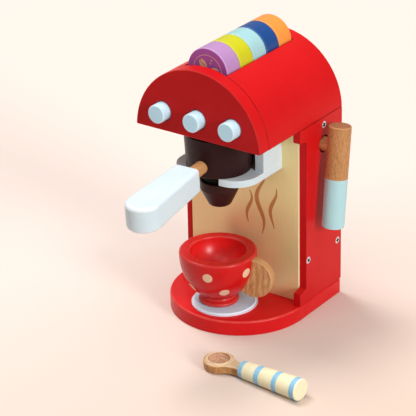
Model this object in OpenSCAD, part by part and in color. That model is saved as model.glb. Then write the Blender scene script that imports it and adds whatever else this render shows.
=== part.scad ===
// Wooden toy coffee maker with five capsules, a filter on a fork, a side lever, a toy cup and a scoop.
// Millimetres. X runs to the right and Y to the back, seen from the front, and Z runs up.
// The origin lies on the table, at the centre of the base's round front.

/* [Base] */
// Width of the base, the column and the head
body_w = 130; // [124:1:140]
// Distance from the centre of the round front to the back of the toy
body_back = 67; // [62:1:76]
// Thickness of the base board
base_t = 14; // [12:0.5:20]

/* [Drip tray] */
// Diameter of the round drip tray
tray_d = 60; // [44:1:64]
// Thickness of the drip tray
tray_t = 2.2; // [1.2:0.1:4]
// Distance from the origin forward to the middle of the drip tray
tray_forward = 29; // [24:0.5:32]
// How far the middle of the drip tray lies to the right of the middle
tray_right = 1.8; // [0:0.1:4]

/* [Column] */
// Height of the column between the base and the head
column_h = 171; // [160:1:200]
// Thickness of the two side panels
side_t = 7; // [6:0.5:9]
// Distance from the origin back to the recessed front edge of the side panels
side_front = 8; // [4:0.5:14]
// How far the foot and the shoulder of a side panel reach in front of that edge
shoulder_reach = 10; // [4:0.5:12]
// Height of the upright front of the foot and of the shoulder
shoulder_h = 12; // [8:0.5:18]
// How far the foot and the shoulder slope on their way back to the recessed edge
shoulder_slope = 2.5; // [0:0.5:6]
// Thickness of the printed front panel and of the rear panel
panel_t = 12; // [10:0.5:15]
// How far the printed panel stands in front of the recessed edge
panel_proud = 1.5; // [0:0.25:3]
// Depth of the cross rail under the head
rail_d = 24; // [18:1:30]
// Height of the cross rail under the head
rail_h = 15; // [12:0.5:15]

/* [Head] */
// Depth of the head from front to back
head_d = 130; // [128:1:140]
// How far the centre of the head's round outline lies below its underside
head_drop = 2.5; // [0:0.5:5]
// Thickness of the round front plate
fascia_t = 13.5; // [11:0.5:14]
// Thickness of the bent cover
cover_t = 8; // [6:0.5:9]
// Thickness of the floor board inside the head
head_floor_t = 6; // [5:0.5:6]
// Thickness of the back plate inside the cover
head_back_t = 12; // [8:0.5:12]

/* [Capsules] */
// Diameter of a capsule
pod_d = 41.6; // [38:0.2:42]
// Height of the capsules' middle above the underside of the head
pod_lift = 56.8; // [56:0.2:60]
// Chamfer on the edges of a capsule
pod_edge = 1.2; // [0.5:0.1:2]
// Play under and between the capsules
pod_play = 0.3; // [0.2:0.05:0.4]
// Play beside the capsules in the slot of the cover
pod_side_play = 1; // [0.3:0.1:1.5]
// Spare length of the slot in front of the first capsule
pod_slack = 3.6; // [0:0.2:8]
// Distance from the back end of the slot to the back plate
pod_rest = 1.1; // [0.5:0.1:8]
// Thickness of the cradle under the capsules
cradle_t = 5; // [4:0.25:5.5]
// Thickness of the two boards that carry the cradle
rib_t = 8; // [6:0.5:10]

/* [Buttons] */
// Diameter of a push button
button_d = 16.8; // [14:0.2:17.6]
// Play between a push button and its hole
button_play = 0.8; // [0.5:0.1:1]
// Distance between neighbouring push buttons
button_pitch = 36.5; // [30:0.5:38]
// Height of the push buttons above the underside of the head
button_lift = 18; // [17.5:0.25:18]
// How far a push button stands out at rest
button_out = 9.5; // [7:0.5:12]
// How far a push button travels when pressed
button_travel = 5; // [3:0.5:6]
// How much wider the collar behind the plate is than the button, on each side
collar_step = 2.1; // [1.5:0.1:2.2]
// Thickness of that collar
collar_t = 3; // [2:0.5:4]
// Diameter of the button's tail
tail_d = 6; // [5:0.25:6.5]
// Free length of the button spring at rest
spring_l = 15.5; // [13:0.5:18]
// Wire thickness of the button spring
spring_wire = 0.9; // [0.7:0.1:1.1]
// Number of turns of the button spring
spring_turns = 5; // [4:1:6]

/* [Fork] */
// Width of the fork over its two cheeks
fork_w = 82; // [78:1:90]
// Thickness of the fork plate
fork_t = 6.5; // [5:0.5:9]
// Height of the cheeks between the fork plate and the head
cheek_h = 37; // [34:0.5:42]
// Thickness of the two cheeks
cheek_t = 9.5; // [7:0.5:9.5]
// Depth of the cheeks in front of the printed panel
cheek_d = 28.5; // [22:0.5:30]
// Radius of the rounded front corners of the fork plate
fork_corner_r = 23; // [16:0.5:23]
// Distance from the origin forward to the middle of the filter's seat
seat_forward = 31; // [28:0.5:34]

/* [Filter] */
// Radius of the filter cup at its top
filter_top_r = 30.8; // [28:0.1:30.9]
// Radius of the filter cup at its bottom
filter_foot_r = 28.8; // [27:0.1:29.5]
// Clearance between the filter cup and the head
filter_gap = 1; // [0.5:0.25:2]
// Radius of the hollow that takes a capsule
filter_hollow_r = 21.3; // [21.2:0.1:21.4]
// Depth of that hollow
filter_hollow_h = 20.2; // [15:0.1:20.5]
// Radius of the neck that stands in the fork
neck_r = 14.2; // [11:0.1:14.2]
// Play between the neck and the slot of the fork
neck_play = 0.4; // [0.3:0.05:0.8]
// Clearance between the fork plate and the spout below it
spout_gap = 4.5; // [1:0.1:9]
// Radius of the spout over its upright part
spout_r = 17.6; // [15:0.1:20]
// Radius of the spout at its mouth
mouth_r = 9.7; // [6:0.1:11]
// Height of the whole spout below the neck
spout_h = 25; // [22:0.2:32]
// Height of the upright part of the spout
spout_shoulder = 8.4; // [5:0.1:12]
// Radius of the pivot between the spout and the cup
pivot_r = 5; // [4:0.1:6]
// Length of that pivot
pivot_l = 7.5; // [5:0.5:8]

/* [Filter handle] */
// Diameter of the dowel between the filter cup and its handle
dowel_d = 12; // [10:0.5:12.5]
// How far the filter handle points to the right of straight forward, in degrees
handle_turn = 3; // [-30:1:30]
// How far the filter handle droops, in degrees
handle_droop = 4.5; // [0:0.5:6]
// Height above the fork plate at which the handle's axis meets the filter's axis
handle_lift = 12.4; // [10:0.2:13]
// Distance from the middle of the filter to the near end of the handle
handle_start = 48.5; // [44:0.5:56]
// Length of the filter handle
handle_l = 85.5; // [70:0.5:100]
// Width of the filter handle at its near end
handle_near_w = 25.3; // [20:0.1:28]
// Width of the filter handle at its round far end
handle_far_w = 31.7; // [24:0.1:36]
// Height of the filter handle at its near end
handle_near_h = 22.3; // [18:0.1:26]
// Height of the filter handle at its far end
handle_far_h = 24.4; // [18:0.1:28]
// Radius of the near corners of the filter handle
handle_corner_r = 5; // [2:0.5:8]
// Depth of the dowel in the filter cup
dowel_in_cup = 7; // [5:0.25:7]
// Depth of the dowel in the handle
dowel_in_handle = 25; // [15:1:35]

/* [Lever] */
// Diameter of the lever's grip
grip_d = 20.5; // [18:0.5:24]
// Length of the lever's grip
grip_l = 94; // [80:1:110]
// Distance from the top of the grip down to its peg
grip_over_peg = 20; // [14:0.5:30]
// Tilt of the grip, bottom end forward, in degrees
grip_tilt = 7; // [0:1:20]
// Gap between the grip and the side panel
grip_gap = 4.75; // [3:0.25:10]
// Diameter of the lever's peg
peg_d = 13; // [10:0.5:13]
// Depth of the peg in the grip
peg_socket = 8.25; // [6:0.25:9]
// Height of the peg above the base board
peg_lift = 145.5; // [120:0.5:145.5]
// Play around the peg in the side panel
peg_play = 1.5; // [0.5:0.1:2]
// Radius of the washer that keeps the peg in
washer_r = 10; // [9:0.25:10.25]
// Thickness of that washer
washer_t = 2; // [1.5:0.25:3]

/* [Toy cup] */
// Radius of the cup over its rim
cup_r = 35; // [30:0.5:36]
// Height of the cup
cup_h = 49.8; // [44:0.2:56]
// Radius of the cup's opening
cup_open_r = 25.4; // [22:0.2:27]
// Thickness of the cup's bottom, foot included
cup_floor = 22.9; // [19:0.1:28]
// Radius of the cup's foot
cup_foot_r = 18.3; // [14:0.5:20]
// Height of the cup's foot
cup_foot_h = 4; // [2.5:0.25:5]
// Radius of the waist above the cup's foot
cup_waist_r = 14.6; // [11:0.2:16]
// How far the cup stands to the left of the middle
cup_left = 3.2; // [0:0.1:6]
// How far the cup's handle is turned to the back from straight right, in degrees
cup_handle_turn = 10; // [0:1:30]
// Radius of the round handle
cup_handle_r = 18.5; // [14:0.5:20]
// Thickness of the round handle
cup_handle_t = 8; // [6:0.5:12]
// Distance from the middle of the cup to the middle of its handle
cup_handle_out = 35.5; // [33:0.5:38]
// Height of the handle's middle above the foot
cup_handle_lift = 28.8; // [24:0.2:30]
// How far the handle's pin reaches from the middle of the handle towards the cup
cup_pin_reach = 9.6; // [8:0.2:10]

/* [Scoop] */
// Distance of the scoop's bowl from the origin, to the right
scoop_right = 52.4; // [40:0.2:80]
// Distance of the scoop's bowl from the origin, to the front
scoop_forward = 110.5; // [95:0.5:130]
// How far the scoop is turned to the front from straight right, in degrees
scoop_turn = 4.8; // [0:0.1:20]
// Radius of the scoop's bowl at its rim
scoop_r = 14; // [12:0.25:16]
// Radius of the scoop's bowl at its foot
scoop_foot_r = 13; // [11:0.25:15]
// Height of the scoop's bowl
scoop_h = 10; // [9:0.25:12]
// Radius of the hollow in the bowl
scoop_hollow_r = 9.8; // [7:0.2:10.4]
// Depth of that hollow
scoop_hollow_h = 6; // [5:0.25:7]
// Distance from the bowl's middle to the grip
scoop_neck_l = 26; // [22:0.5:32]
// Half the width of the neck between the bowl and the grip
scoop_neck_r = 5; // [4:0.25:6]
// Height of the neck's underside above the table
scoop_neck_lift = 1.5; // [0.5:0.25:2.5]
// Height of the neck's upper side above the table
scoop_neck_top = 9.2; // [8:0.2:10]
// Length of the scoop's grip
scoop_grip_l = 63.5; // [50:0.5:80]
// Radius of the grip at its thin end
scoop_grip_thin = 7.6; // [7:0.1:9]
// Radius of the grip at its thick end
scoop_grip_thick = 9.8; // [8:0.1:11]

/* [Fasteners] */
// Radius of a screw head
screw_head_r = 3.4; // [3:0.1:4]
// Radius of a screw's shank
screw_r = 1.75; // [1.5:0.05:2]
// Length of the screws in the sides and in the floor of the head
screw_l = 25; // [18:1:30]
// Length of the screws in the base board
base_screw_l = 35; // [30:1:40]
// Length of the screw in the lever's peg
lever_screw_l = 17; // [12:0.5:20]
// Height of the lower side screws above the base board
side_screw_lift = 41; // [30:1:80]
// Distance of the base screws from the middle
base_screw_x = 32.5; // [25:0.5:45]
// Distance of the head screws from the middle
head_screw_x = 39; // [30:0.5:44]
// Radius of the small wooden pins
pin_r = 2.5; // [2:0.1:3]
// Length of the small wooden pins
pin_l = 16; // [12:1:20]
// Depth of a pin in the thinner of its two pieces
pin_in_board = 4; // [3:0.25:4.5]
// Distance of the pins from the front and the back of a cheek
pin_inset = 7; // [5:0.5:10]

/* [Hidden] */
$fn = 96;

red = "#E02024";
pale_blue = "#D8EEF2";
dark_brown = "#3A201C";
beech = "#C08A58";
gold = "#CFA870";
steel = "#C8C8CC";
cream = "#F8ECC0";
pod_colours = ["#C088C8", "#DCDC10", "#A0DCDC", "#0A56A0", "#FAA040"];

// A cut reaches this far past the face that it opens
past = 1;
// Number of steps in the curves of the toy cup
curve_steps = 12;
// Play of a pin or screw in its hole, all round
glue_gap = 0.05;
// Running clearance between moving pieces that face each other
run_gap = 0.3;
// Chamfer on turned edges
edge = 1;
// Distance from the rear cross board's front to the back plate
rear_rib_inset = 24;

half_w = body_w / 2;
head_z = base_t + column_h;
head_front = body_back - head_d;
head_axis_z = head_z - head_drop;
fascia_back = head_front + fascia_t;
cover_inner_r = half_w - cover_t;
lining_r = cover_inner_r - run_gap;
head_back_front = body_back - head_back_t;

panel_front = side_front - panel_proud;
panel_w = body_w - 2 * side_t;
rear_front = body_back - panel_t;
rail_mid = (side_front + body_back) / 2;

pod_z = head_z + pod_lift;
groove_r = pod_d / 2 + pod_play;
slot_r = pod_d / 2 + pod_side_play;
cradle_bottom = pod_z - groove_r - cradle_t;
cradle_half_w = slot_r + cradle_t;
cradle_l = head_back_front - fascia_back;
// The capsules, one of each colour, share the length of the slot
slot_l = cradle_l - pod_rest;
pod_step = (slot_l - pod_slack - pod_play) / len(pod_colours);
pod_t = pod_step - pod_play;
floor_top = head_z + head_floor_t;

button_r = button_d / 2;
button_hole_r = button_r + button_play;
button_z = head_z + button_lift;
collar_front = fascia_back + run_gap;
collar_back = collar_front + collar_t;
guide_front = collar_back + spring_l + run_gap;
// A button pressed home brings the end of its tail level with the back of the guide board
tail_in_guide = rib_t - button_travel;
tail_l = spring_l + run_gap + tail_in_guide;
spring_r = tail_d / 2 + spring_wire + run_gap;
rear_rib_front = head_back_front - rear_rib_inset;

seat_y = -seat_forward;
fork_top = head_z - cheek_h;
fork_bottom = fork_top - fork_t;
cheek_inner = fork_w / 2 - cheek_t;

cup_top = head_z - filter_gap;
hollow_floor = cup_top - filter_hollow_h;
spout_top = fork_bottom - spout_gap;
spout_bottom = spout_top - spout_h;
handle_z = fork_top + handle_lift;
dowel_r = dowel_d / 2;
dowel_start = filter_foot_r - dowel_in_cup;
dowel_end = handle_start + dowel_in_handle;

peg_y = rail_mid;
peg_z = base_t + peg_lift;
grip_x = half_w + grip_gap + grip_d / 2;
peg_r = peg_d / 2;
peg_hole_r = peg_r + peg_play;
peg_inner_x = half_w - side_t - run_gap;

tray_top = base_t + tray_t;
cup_waist_h = cup_foot_h + 2;
scoop_flare_r = scoop_neck_r + 2;
scoop_pin_l = 14;
scoop_pin_r = 3.5;

cross_l = 4;
cross_w = 1;
cross_h = 1.5;
screw_sink = 0.3;

// Half-round outline of the head, standing on its flat side
module head_outline(r) {
  translate([0, head_z - head_drop])
    intersection() {
      circle(r);
      translate([-r, head_drop]) square([2 * r, r]);
    }
}

// Extrudes an outline drawn in X and Z from the plane y = front back to y = back
module along_y(front, back) {
  translate([0, back, 0]) rotate([90, 0, 0]) linear_extrude(back - front) children();
}

// Countersunk screw with its head's face at the origin and its shank pointing down; grow widens it for a hole
module screw_body(l, grow = 0) {
  rotate_extrude()
    polygon([
      [0, 0], [screw_head_r + grow, 0], [screw_r + grow, screw_r - screw_head_r],
      [screw_r + grow, -l + screw_r - grow], [0, -l - grow]
    ]);
}

module screw(l) {
  difference() {
    screw_body(l);
    for (turn = [0, 90])
      rotate([0, 0, turn]) cube([cross_l, cross_w, 2 * cross_h], center = true);
  }
}

module screw_hole(l) {
  screw_body(l, glue_gap);
  cylinder(h = past, r = screw_head_r + glue_gap);
}

module at_side_screws() {
  places = [
    [rail_mid, head_z - rail_h / 2],
    [panel_front + panel_t / 2, base_t + side_screw_lift],
    [rear_front + panel_t / 2, base_t + side_screw_lift]
  ];
  for (side = [-1, 1], place = places)
    translate([side * (half_w - screw_sink), place[0], place[1]]) rotate([0, side * 90, 0]) children();
}

module at_base_screws() {
  for (side = [-1, 1], y = [panel_front + panel_t / 2, rear_front + panel_t / 2])
    translate([side * base_screw_x, y, screw_sink]) rotate([180, 0, 0]) children();
}

module at_head_screws() {
  for (side = [-1, 1], y = [panel_front + panel_t / 2, rear_front + panel_t / 2])
    translate([side * head_screw_x, y, floor_top - screw_sink]) children();
}

module pin(grow = 0) {
  translate([0, 0, -grow]) cylinder(h = pin_l + 2 * grow, r = pin_r + grow, $fn = 32);
}

// The pins stand upright in the cheeks: two in the fork plate and two in the floor of the head
module at_fork_pins() {
  for (side = [-1, 1], y = [panel_front - cheek_d + pin_inset, panel_front - pin_inset])
    translate([side * (fork_w - cheek_t) / 2, y, 0]) {
      translate([0, 0, fork_top - pin_in_board]) children();
      translate([0, 0, head_z + pin_in_board - pin_l]) children();
    }
}

module base_board() {
  color(red)
    difference() {
      linear_extrude(base_t) {
        circle(half_w);
        translate([-half_w, 0]) square([body_w, body_back]);
      }
      at_base_screws() screw_hole(base_screw_l);
    }
}

module drip_tray() {
  color("#C8D4E8") translate([tray_right, -tray_forward, base_t]) cylinder(h = tray_t, d = tray_d);
}

// The side panel stands on the base with a foot and meets the head with a shoulder
module side_panel(side) {
  front = side_front - shoulder_reach;
  foot_top = base_t + shoulder_h;
  shoulder_bottom = head_z - shoulder_h;
  outline = [
    [front, base_t], [body_back, base_t], [body_back, head_z], [front, head_z], [front, shoulder_bottom],
    [side_front, shoulder_bottom - shoulder_slope], [side_front, foot_top + shoulder_slope], [front, foot_top]
  ];
  color(red)
    difference() {
      translate([side > 0 ? half_w - side_t : -half_w, 0, 0])
        rotate([90, 0, 90]) linear_extrude(side_t) polygon(outline);
      at_side_screws() screw_hole(screw_l);
      if (side > 0)
        translate([half_w - side_t - past, peg_y, peg_z])
          rotate([0, 90, 0]) cylinder(h = side_t + 2 * past, r = peg_hole_r);
    }
}

module side_panel_left() { side_panel(-1); }

module side_panel_right() { side_panel(1); }

// A panel fills the column from side to side
module column_panel(front) {
  difference() {
    translate([-panel_w / 2, front, base_t]) cube([panel_w, panel_t, column_h]);
    at_side_screws() screw_hole(screw_l);
    at_base_screws() screw_hole(base_screw_l);
    at_head_screws() screw_hole(screw_l);
  }
}

module printed_panel() { color(gold) column_panel(panel_front); }

module rear_panel() { color(red) column_panel(rear_front); }

module top_rail() {
  color(beech)
    difference() {
      translate([-panel_w / 2, rail_mid - rail_d / 2, head_z - rail_h]) cube([panel_w, rail_d, rail_h]);
      at_side_screws() screw_hole(screw_l);
    }
}

module side_screws() { color(steel) at_side_screws() screw(screw_l); }

module base_screws() { color(steel) at_base_screws() screw(base_screw_l); }

module head_screws() { color(steel) at_head_screws() screw(screw_l); }

module at_buttons() {
  for (i = [-1:1]) translate([i * button_pitch, 0, button_z]) children();
}

module fascia_plate() {
  color(red)
    difference() {
      along_y(head_front, fascia_back) head_outline(half_w);
      at_buttons() translate([0, fascia_back + past, 0])
        rotate([90, 0, 0]) cylinder(h = fascia_t + 2 * past, r = button_hole_r);
    }
}

// Bent cover with the slot that the capsules stand in
module head_cover() {
  color(red)
    difference() {
      along_y(fascia_back, body_back)
        difference() {
          head_outline(half_w);
          translate([0, head_axis_z]) circle(cover_inner_r);
        }
      translate([-slot_r, fascia_back - past, head_axis_z])
        cube([2 * slot_r, slot_l + past, half_w + past]);
    }
}

// The back plate stands on the floor board, inside the cover
module head_back_plate() {
  color(red)
    intersection() {
      along_y(head_back_front, body_back) head_outline(lining_r);
      translate([-half_w, head_back_front, floor_top]) cube([body_w, head_back_t, half_w]);
    }
}

module head_floor() {
  color(beech)
    difference() {
      intersection() {
        along_y(fascia_back, body_back) head_outline(lining_r);
        translate([-half_w, fascia_back, head_z]) cube([body_w, body_back - fascia_back, head_floor_t]);
      }
      at_head_screws() screw_hole(screw_l);
      at_fork_pins() pin(glue_gap);
    }
}

// Cradle with a round groove that carries the capsules
module pod_cradle() {
  color(beech)
    difference() {
      intersection() {
        along_y(fascia_back, head_back_front) head_outline(lining_r);
        translate([-cradle_half_w, fascia_back, cradle_bottom])
          cube([2 * cradle_half_w, cradle_l, half_w]);
      }
      translate([0, fascia_back + slot_l, pod_z])
        rotate([90, 0, 0]) cylinder(h = slot_l + past, r = groove_r);
      translate([-slot_r, fascia_back - past, pod_z]) cube([2 * slot_r, slot_l + past, half_w]);
    }
}

// Board across the head that stands on its floor and carries the cradle
module cross_board(front) {
  intersection() {
    along_y(front, front + rib_t) head_outline(lining_r);
    translate([-half_w, front, floor_top]) cube([body_w, rib_t, cradle_bottom - floor_top]);
  }
}

module button_guide() {
  color(beech)
    difference() {
      cross_board(guide_front);
      at_buttons() translate([0, guide_front + rib_t + past, 0])
        rotate([90, 0, 0]) cylinder(h = rib_t + 2 * past, r = tail_d / 2 + run_gap);
    }
}

module cradle_rib() { color(beech) cross_board(rear_rib_front); }

// Turned button: face, body, collar behind the plate and tail through the guide
module push_button(i) {
  color(pale_blue)
    translate([i * button_pitch, collar_back, button_z]) rotate([90, 0, 0])
      rotate_extrude()
        polygon([
          [0, -tail_l], [tail_d / 2, -tail_l], [tail_d / 2, 0],
          [button_r + collar_step, 0], [button_r + collar_step, collar_t], [button_r, collar_t],
          [button_r, collar_back - head_front + button_out - edge],
          [button_r - edge, collar_back - head_front + button_out],
          [0, collar_back - head_front + button_out]
        ]);
}

module button_left() { push_button(-1); }

module button_middle() { push_button(0); }

module button_right() { push_button(1); }

// Coil spring around the button's tail
module button_spring(i) {
  sides = 6;
  steps = 10;
  wire_r = spring_wire / 2;
  rings = spring_turns * steps;
  rise = spring_l - spring_wire;
  ring_points = [
    for (k = [0:rings], j = [0:sides - 1])
      let (turn = 360 * k / steps, side = 360 * j / sides, reach = spring_r + wire_r * cos(side))
        [reach * cos(turn), reach * sin(turn), wire_r + rise * k / rings + wire_r * sin(side)]
  ];
  walls = [
    for (k = [0:rings - 1], j = [0:sides - 1])
      let (a = k * sides + j, b = k * sides + (j + 1) % sides)
        [a, a + sides, b + sides, b]
  ];
  start_cap = [[for (j = [0:sides - 1]) j]];
  end_cap = [[for (j = [sides - 1:-1:0]) rings * sides + j]];
  color(steel)
    translate([i * button_pitch, guide_front - run_gap / 2, button_z]) rotate([90, 0, 0])
      polyhedron(ring_points, concat(walls, start_cap, end_cap));
}

module button_spring_left() { button_spring(-1); }

module button_spring_middle() { button_spring(0); }

module button_spring_right() { button_spring(1); }

// Fork plate with two rounded prongs and an open slot for the filter's neck
module fork_plate() {
  half_fork = fork_w / 2;
  corner_x = half_fork - fork_corner_r;
  slot_w_r = neck_r + neck_play;
  color(pale_blue)
    translate([0, 0, fork_bottom])
      difference() {
        linear_extrude(fork_t)
          difference() {
            union() {
              translate([-half_fork, seat_y]) square([fork_w, panel_front - seat_y]);
              for (side = [-1, 1]) translate([side * corner_x, seat_y]) circle(fork_corner_r);
              translate([-corner_x, seat_y - fork_corner_r]) square([2 * corner_x, fork_corner_r]);
            }
            translate([0, seat_y]) circle(slot_w_r);
            translate([-slot_w_r, seat_y - half_fork]) square([2 * slot_w_r, half_fork]);
          }
        translate([0, 0, -fork_bottom]) at_fork_pins() pin(glue_gap);
      }
}

module fork_cheek(side) {
  color(pale_blue)
    difference() {
      translate([side > 0 ? cheek_inner : -cheek_inner - cheek_t, panel_front - cheek_d, fork_top])
        cube([cheek_t, cheek_d, cheek_h]);
      at_fork_pins() pin(glue_gap);
    }
}

module fork_cheek_left() { fork_cheek(-1); }

module fork_cheek_right() { fork_cheek(1); }

module fork_pins() { color(beech) at_fork_pins() pin(); }

// Places its children at the middle of the filter, with X along the handle
module at_filter() {
  translate([0, seat_y, 0]) rotate([0, 0, -90 + handle_turn]) children();
}

// Places its children on the drooping axis of the handle, which runs along X from the filter's axis
module at_handle() {
  at_filter() translate([0, 0, handle_z]) rotate([0, handle_droop, 0]) children();
}

// The handle's dowel, from the given distance to the given distance along the handle's axis
module dowel_body(from, to, r) {
  translate([from, 0, 0]) rotate([0, 90, 0]) cylinder(h = to - from, r = r);
}

module filter_cup() {
  color(dark_brown)
    difference() {
      at_filter()
        difference() {
          rotate_extrude()
            polygon([
              [0, fork_top], [filter_foot_r - edge, fork_top], [filter_foot_r, fork_top + edge],
              [filter_top_r, cup_top - edge], [filter_top_r - edge, cup_top], [filter_hollow_r, cup_top],
              [filter_hollow_r, hollow_floor], [0, hollow_floor]
            ]);
          translate([0, 0, fork_top - past])
            cylinder(h = past + pivot_l + run_gap, r = pivot_r + glue_gap);
        }
      at_handle() dowel_body(dowel_start - glue_gap, handle_start, dowel_r + glue_gap);
    }
}

// Spout with its neck and the pivot that the cup turns on
module filter_spout() {
  color(dark_brown)
    at_filter()
      rotate_extrude()
        polygon([
          [0, spout_bottom], [mouth_r, spout_bottom], [mouth_r + edge, spout_bottom + edge],
          [spout_r, spout_top - spout_shoulder], [spout_r, spout_top - edge], [spout_r - edge, spout_top],
          [neck_r, spout_top], [neck_r, fork_top - run_gap], [pivot_r, fork_top - run_gap],
          [pivot_r, fork_top + pivot_l], [0, fork_top + pivot_l]
        ]);
}

module filter_dowel() {
  color(beech) at_handle() dowel_body(dowel_start, dowel_end, dowel_r);
}

// Plan of the handle, seen from above: it widens from rounded near corners to a round far end
module handle_plan() {
  far_r = handle_far_w / 2;
  near_y = handle_near_w / 2;
  polygon([
    [0, handle_corner_r - near_y], [handle_corner_r, -near_y], [handle_l - far_r, -far_r],
    [handle_l - far_r, far_r], [handle_corner_r, near_y], [0, near_y - handle_corner_r]
  ]);
  for (side = [-1, 1])
    translate([handle_corner_r, side * (near_y - handle_corner_r)]) circle(handle_corner_r);
  translate([handle_l - far_r, 0]) circle(far_r);
}

// Side view of the handle, which grows a little towards its far end
module handle_side() {
  polygon([
    [0, -handle_near_h / 2], [handle_l, -handle_far_h / 2],
    [handle_l, handle_far_h / 2], [0, handle_near_h / 2]
  ]);
}

module filter_handle() {
  color(pale_blue)
    at_handle()
      difference() {
        translate([handle_start, 0, 0])
          intersection() {
            translate([0, 0, -handle_far_h]) linear_extrude(2 * handle_far_h) handle_plan();
            translate([0, handle_far_w, 0])
              rotate([90, 0, 0]) linear_extrude(2 * handle_far_w) handle_side();
          }
        dowel_body(handle_start - past, dowel_end + glue_gap, dowel_r + glue_gap);
      }
}

module lever_grip() {
  color(beech)
    difference() {
      translate([grip_x, peg_y, peg_z]) rotate([-grip_tilt, 0, 0])
        translate([0, 0, grip_over_peg - grip_l])
          rotate_extrude()
            polygon([
              [0, 0], [grip_d / 2 - edge, 0], [grip_d / 2, edge], [grip_d / 2, grip_l - edge],
              [grip_d / 2 - edge, grip_l], [0, grip_l]
            ]);
      translate([half_w, peg_y, peg_z])
        rotate([0, 90, 0]) cylinder(h = grip_gap + peg_socket + glue_gap, r = peg_r + glue_gap);
    }
}

module lever_peg() {
  color(beech)
    difference() {
      translate([peg_inner_x, peg_y, peg_z])
        rotate([0, 90, 0])
          cylinder(h = half_w + grip_gap + peg_socket - peg_inner_x, r = peg_r);
      at_lever_screw() screw_body(lever_screw_l, glue_gap);
    }
}

module at_lever_screw() {
  translate([peg_inner_x - washer_t - glue_gap, peg_y, peg_z]) rotate([0, -90, 0]) children();
}

module lever_washer() {
  color(steel)
    difference() {
      translate([peg_inner_x - washer_t, peg_y, peg_z])
        rotate([0, 90, 0]) cylinder(h = washer_t, r = washer_r);
      at_lever_screw() screw_hole(lever_screw_l);
    }
}

module lever_screw() { color(steel) at_lever_screw() screw(lever_screw_l); }

// Capsule number i, counted from the front
module pod(i) {
  back = fascia_back + pod_slack + i * pod_step;
  r = pod_d / 2;
  color(pod_colours[i - 1])
    translate([0, back, pod_z]) rotate([90, 0, 0])
      rotate_extrude()
        polygon([
          [0, 0], [r - pod_edge, 0], [r, pod_edge], [r, pod_t - pod_edge], [r - pod_edge, pod_t], [0, pod_t]
        ]);
}

module pod_1() { pod(1); }

module pod_2() { pod(2); }

module pod_3() { pod(3); }

module pod_4() { pod(4); }

module pod_5() { pod(5); }

// Points on a quarter ellipse with its centre at height top, from angle start (90 is the lowest point) to 0
function bowl_curve(r, depth, top, start, steps) =
  [for (k = [0:steps]) let (turn = start * (1 - k / steps)) [r * cos(turn), top - depth * sin(turn)]];

// Places its children at the middle of the cup's foot, with X along the handle
module at_cup() {
  translate([-cup_left, seat_y, tray_top]) rotate([0, 0, cup_handle_turn]) children();
}

// The cup's outside, without its hollow
module cup_outside() {
  rim_h = cup_h - 2 * edge;
  waist_turn = acos(cup_waist_r / cup_r);
  rotate_extrude()
    polygon(concat(
      [
        [0, 0], [cup_foot_r - edge, 0], [cup_foot_r, edge], [cup_foot_r, cup_foot_h - edge],
        [cup_foot_r - edge, cup_foot_h], [cup_waist_r, cup_waist_h]
      ],
      bowl_curve(cup_r, (rim_h - cup_waist_h) / sin(waist_turn), rim_h, waist_turn, curve_steps),
      [[cup_r - 2 * edge, cup_h], [0, cup_h]]
    ));
}

module cup_bowl() {
  color(red)
    at_cup()
      difference() {
        cup_outside();
        rotate_extrude()
          polygon(concat(
            bowl_curve(cup_open_r, cup_h - edge - cup_floor, cup_h - edge, 90, curve_steps),
            [[cup_open_r + edge, cup_h], [cup_open_r + edge, cup_h + past], [0, cup_h + past]]
          ));
        at_cup_pin(glue_gap);
      }
}

// The handle's pin runs level from the wall of the cup into the round handle
module at_cup_pin(grow = 0) {
  translate([cup_handle_out - cup_pin_reach - grow, 0, cup_handle_lift])
    rotate([0, 90, 0]) cylinder(h = pin_l + 2 * grow, r = pin_r + grow, $fn = 32);
}

module cup_handle() {
  color(beech)
    at_cup()
      difference() {
        translate([cup_handle_out, cup_handle_t / 2, cup_handle_lift])
          rotate([90, 0, 0]) cylinder(h = cup_handle_t, r = cup_handle_r);
        cup_outside();
        at_cup_pin(glue_gap);
      }
}

module cup_handle_pin() { color(beech) at_cup() at_cup_pin(); }

// Places its children at the scoop's bowl, with X along the grip
module at_scoop() {
  translate([scoop_right, -scoop_forward, 0]) rotate([0, 0, -scoop_turn]) children();
}

// The grip lies on the table, so its axis climbs a little towards its thick end
module at_scoop_grip() {
  climb = asin((scoop_grip_thick - scoop_grip_thin) / scoop_grip_l);
  at_scoop() translate([scoop_neck_l, 0, scoop_grip_thin]) rotate([0, 90 - climb, 0]) children();
}

module scoop_bowl() {
  color(beech) {
    difference() {
      union() {
        at_scoop() cylinder(h = scoop_h, r1 = scoop_foot_r, r2 = scoop_r);
        at_scoop()
          translate([0, 0, scoop_neck_lift])
            linear_extrude(scoop_neck_top - scoop_neck_lift)
              polygon([
                [0, -scoop_hollow_r], [scoop_hollow_r, -scoop_flare_r], [scoop_r, -scoop_neck_r],
                [scoop_neck_l, -scoop_neck_r], [scoop_neck_l, scoop_neck_r], [scoop_r, scoop_neck_r],
                [scoop_hollow_r, scoop_flare_r], [0, scoop_hollow_r]
              ]);
        at_scoop_grip() translate([0, 0, -past]) cylinder(h = scoop_pin_l + past, r = scoop_pin_r);
      }
      at_scoop()
        translate([0, 0, scoop_h - scoop_hollow_h])
          cylinder(h = scoop_hollow_h + past, r = scoop_hollow_r);
    }
  }
}

module scoop_grip() {
  color(cream)
    difference() {
      at_scoop_grip()
        rotate_extrude()
          polygon([
            [0, glue_gap], [scoop_grip_thin, glue_gap],
            [scoop_grip_thick, scoop_grip_l - 2 * edge], [scoop_grip_thick - 2 * edge, scoop_grip_l],
            [0, scoop_grip_l]
          ]);
      at_scoop_grip()
        translate([0, 0, -past]) cylinder(h = scoop_pin_l + past + glue_gap, r = scoop_pin_r + glue_gap);
    }
}

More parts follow.
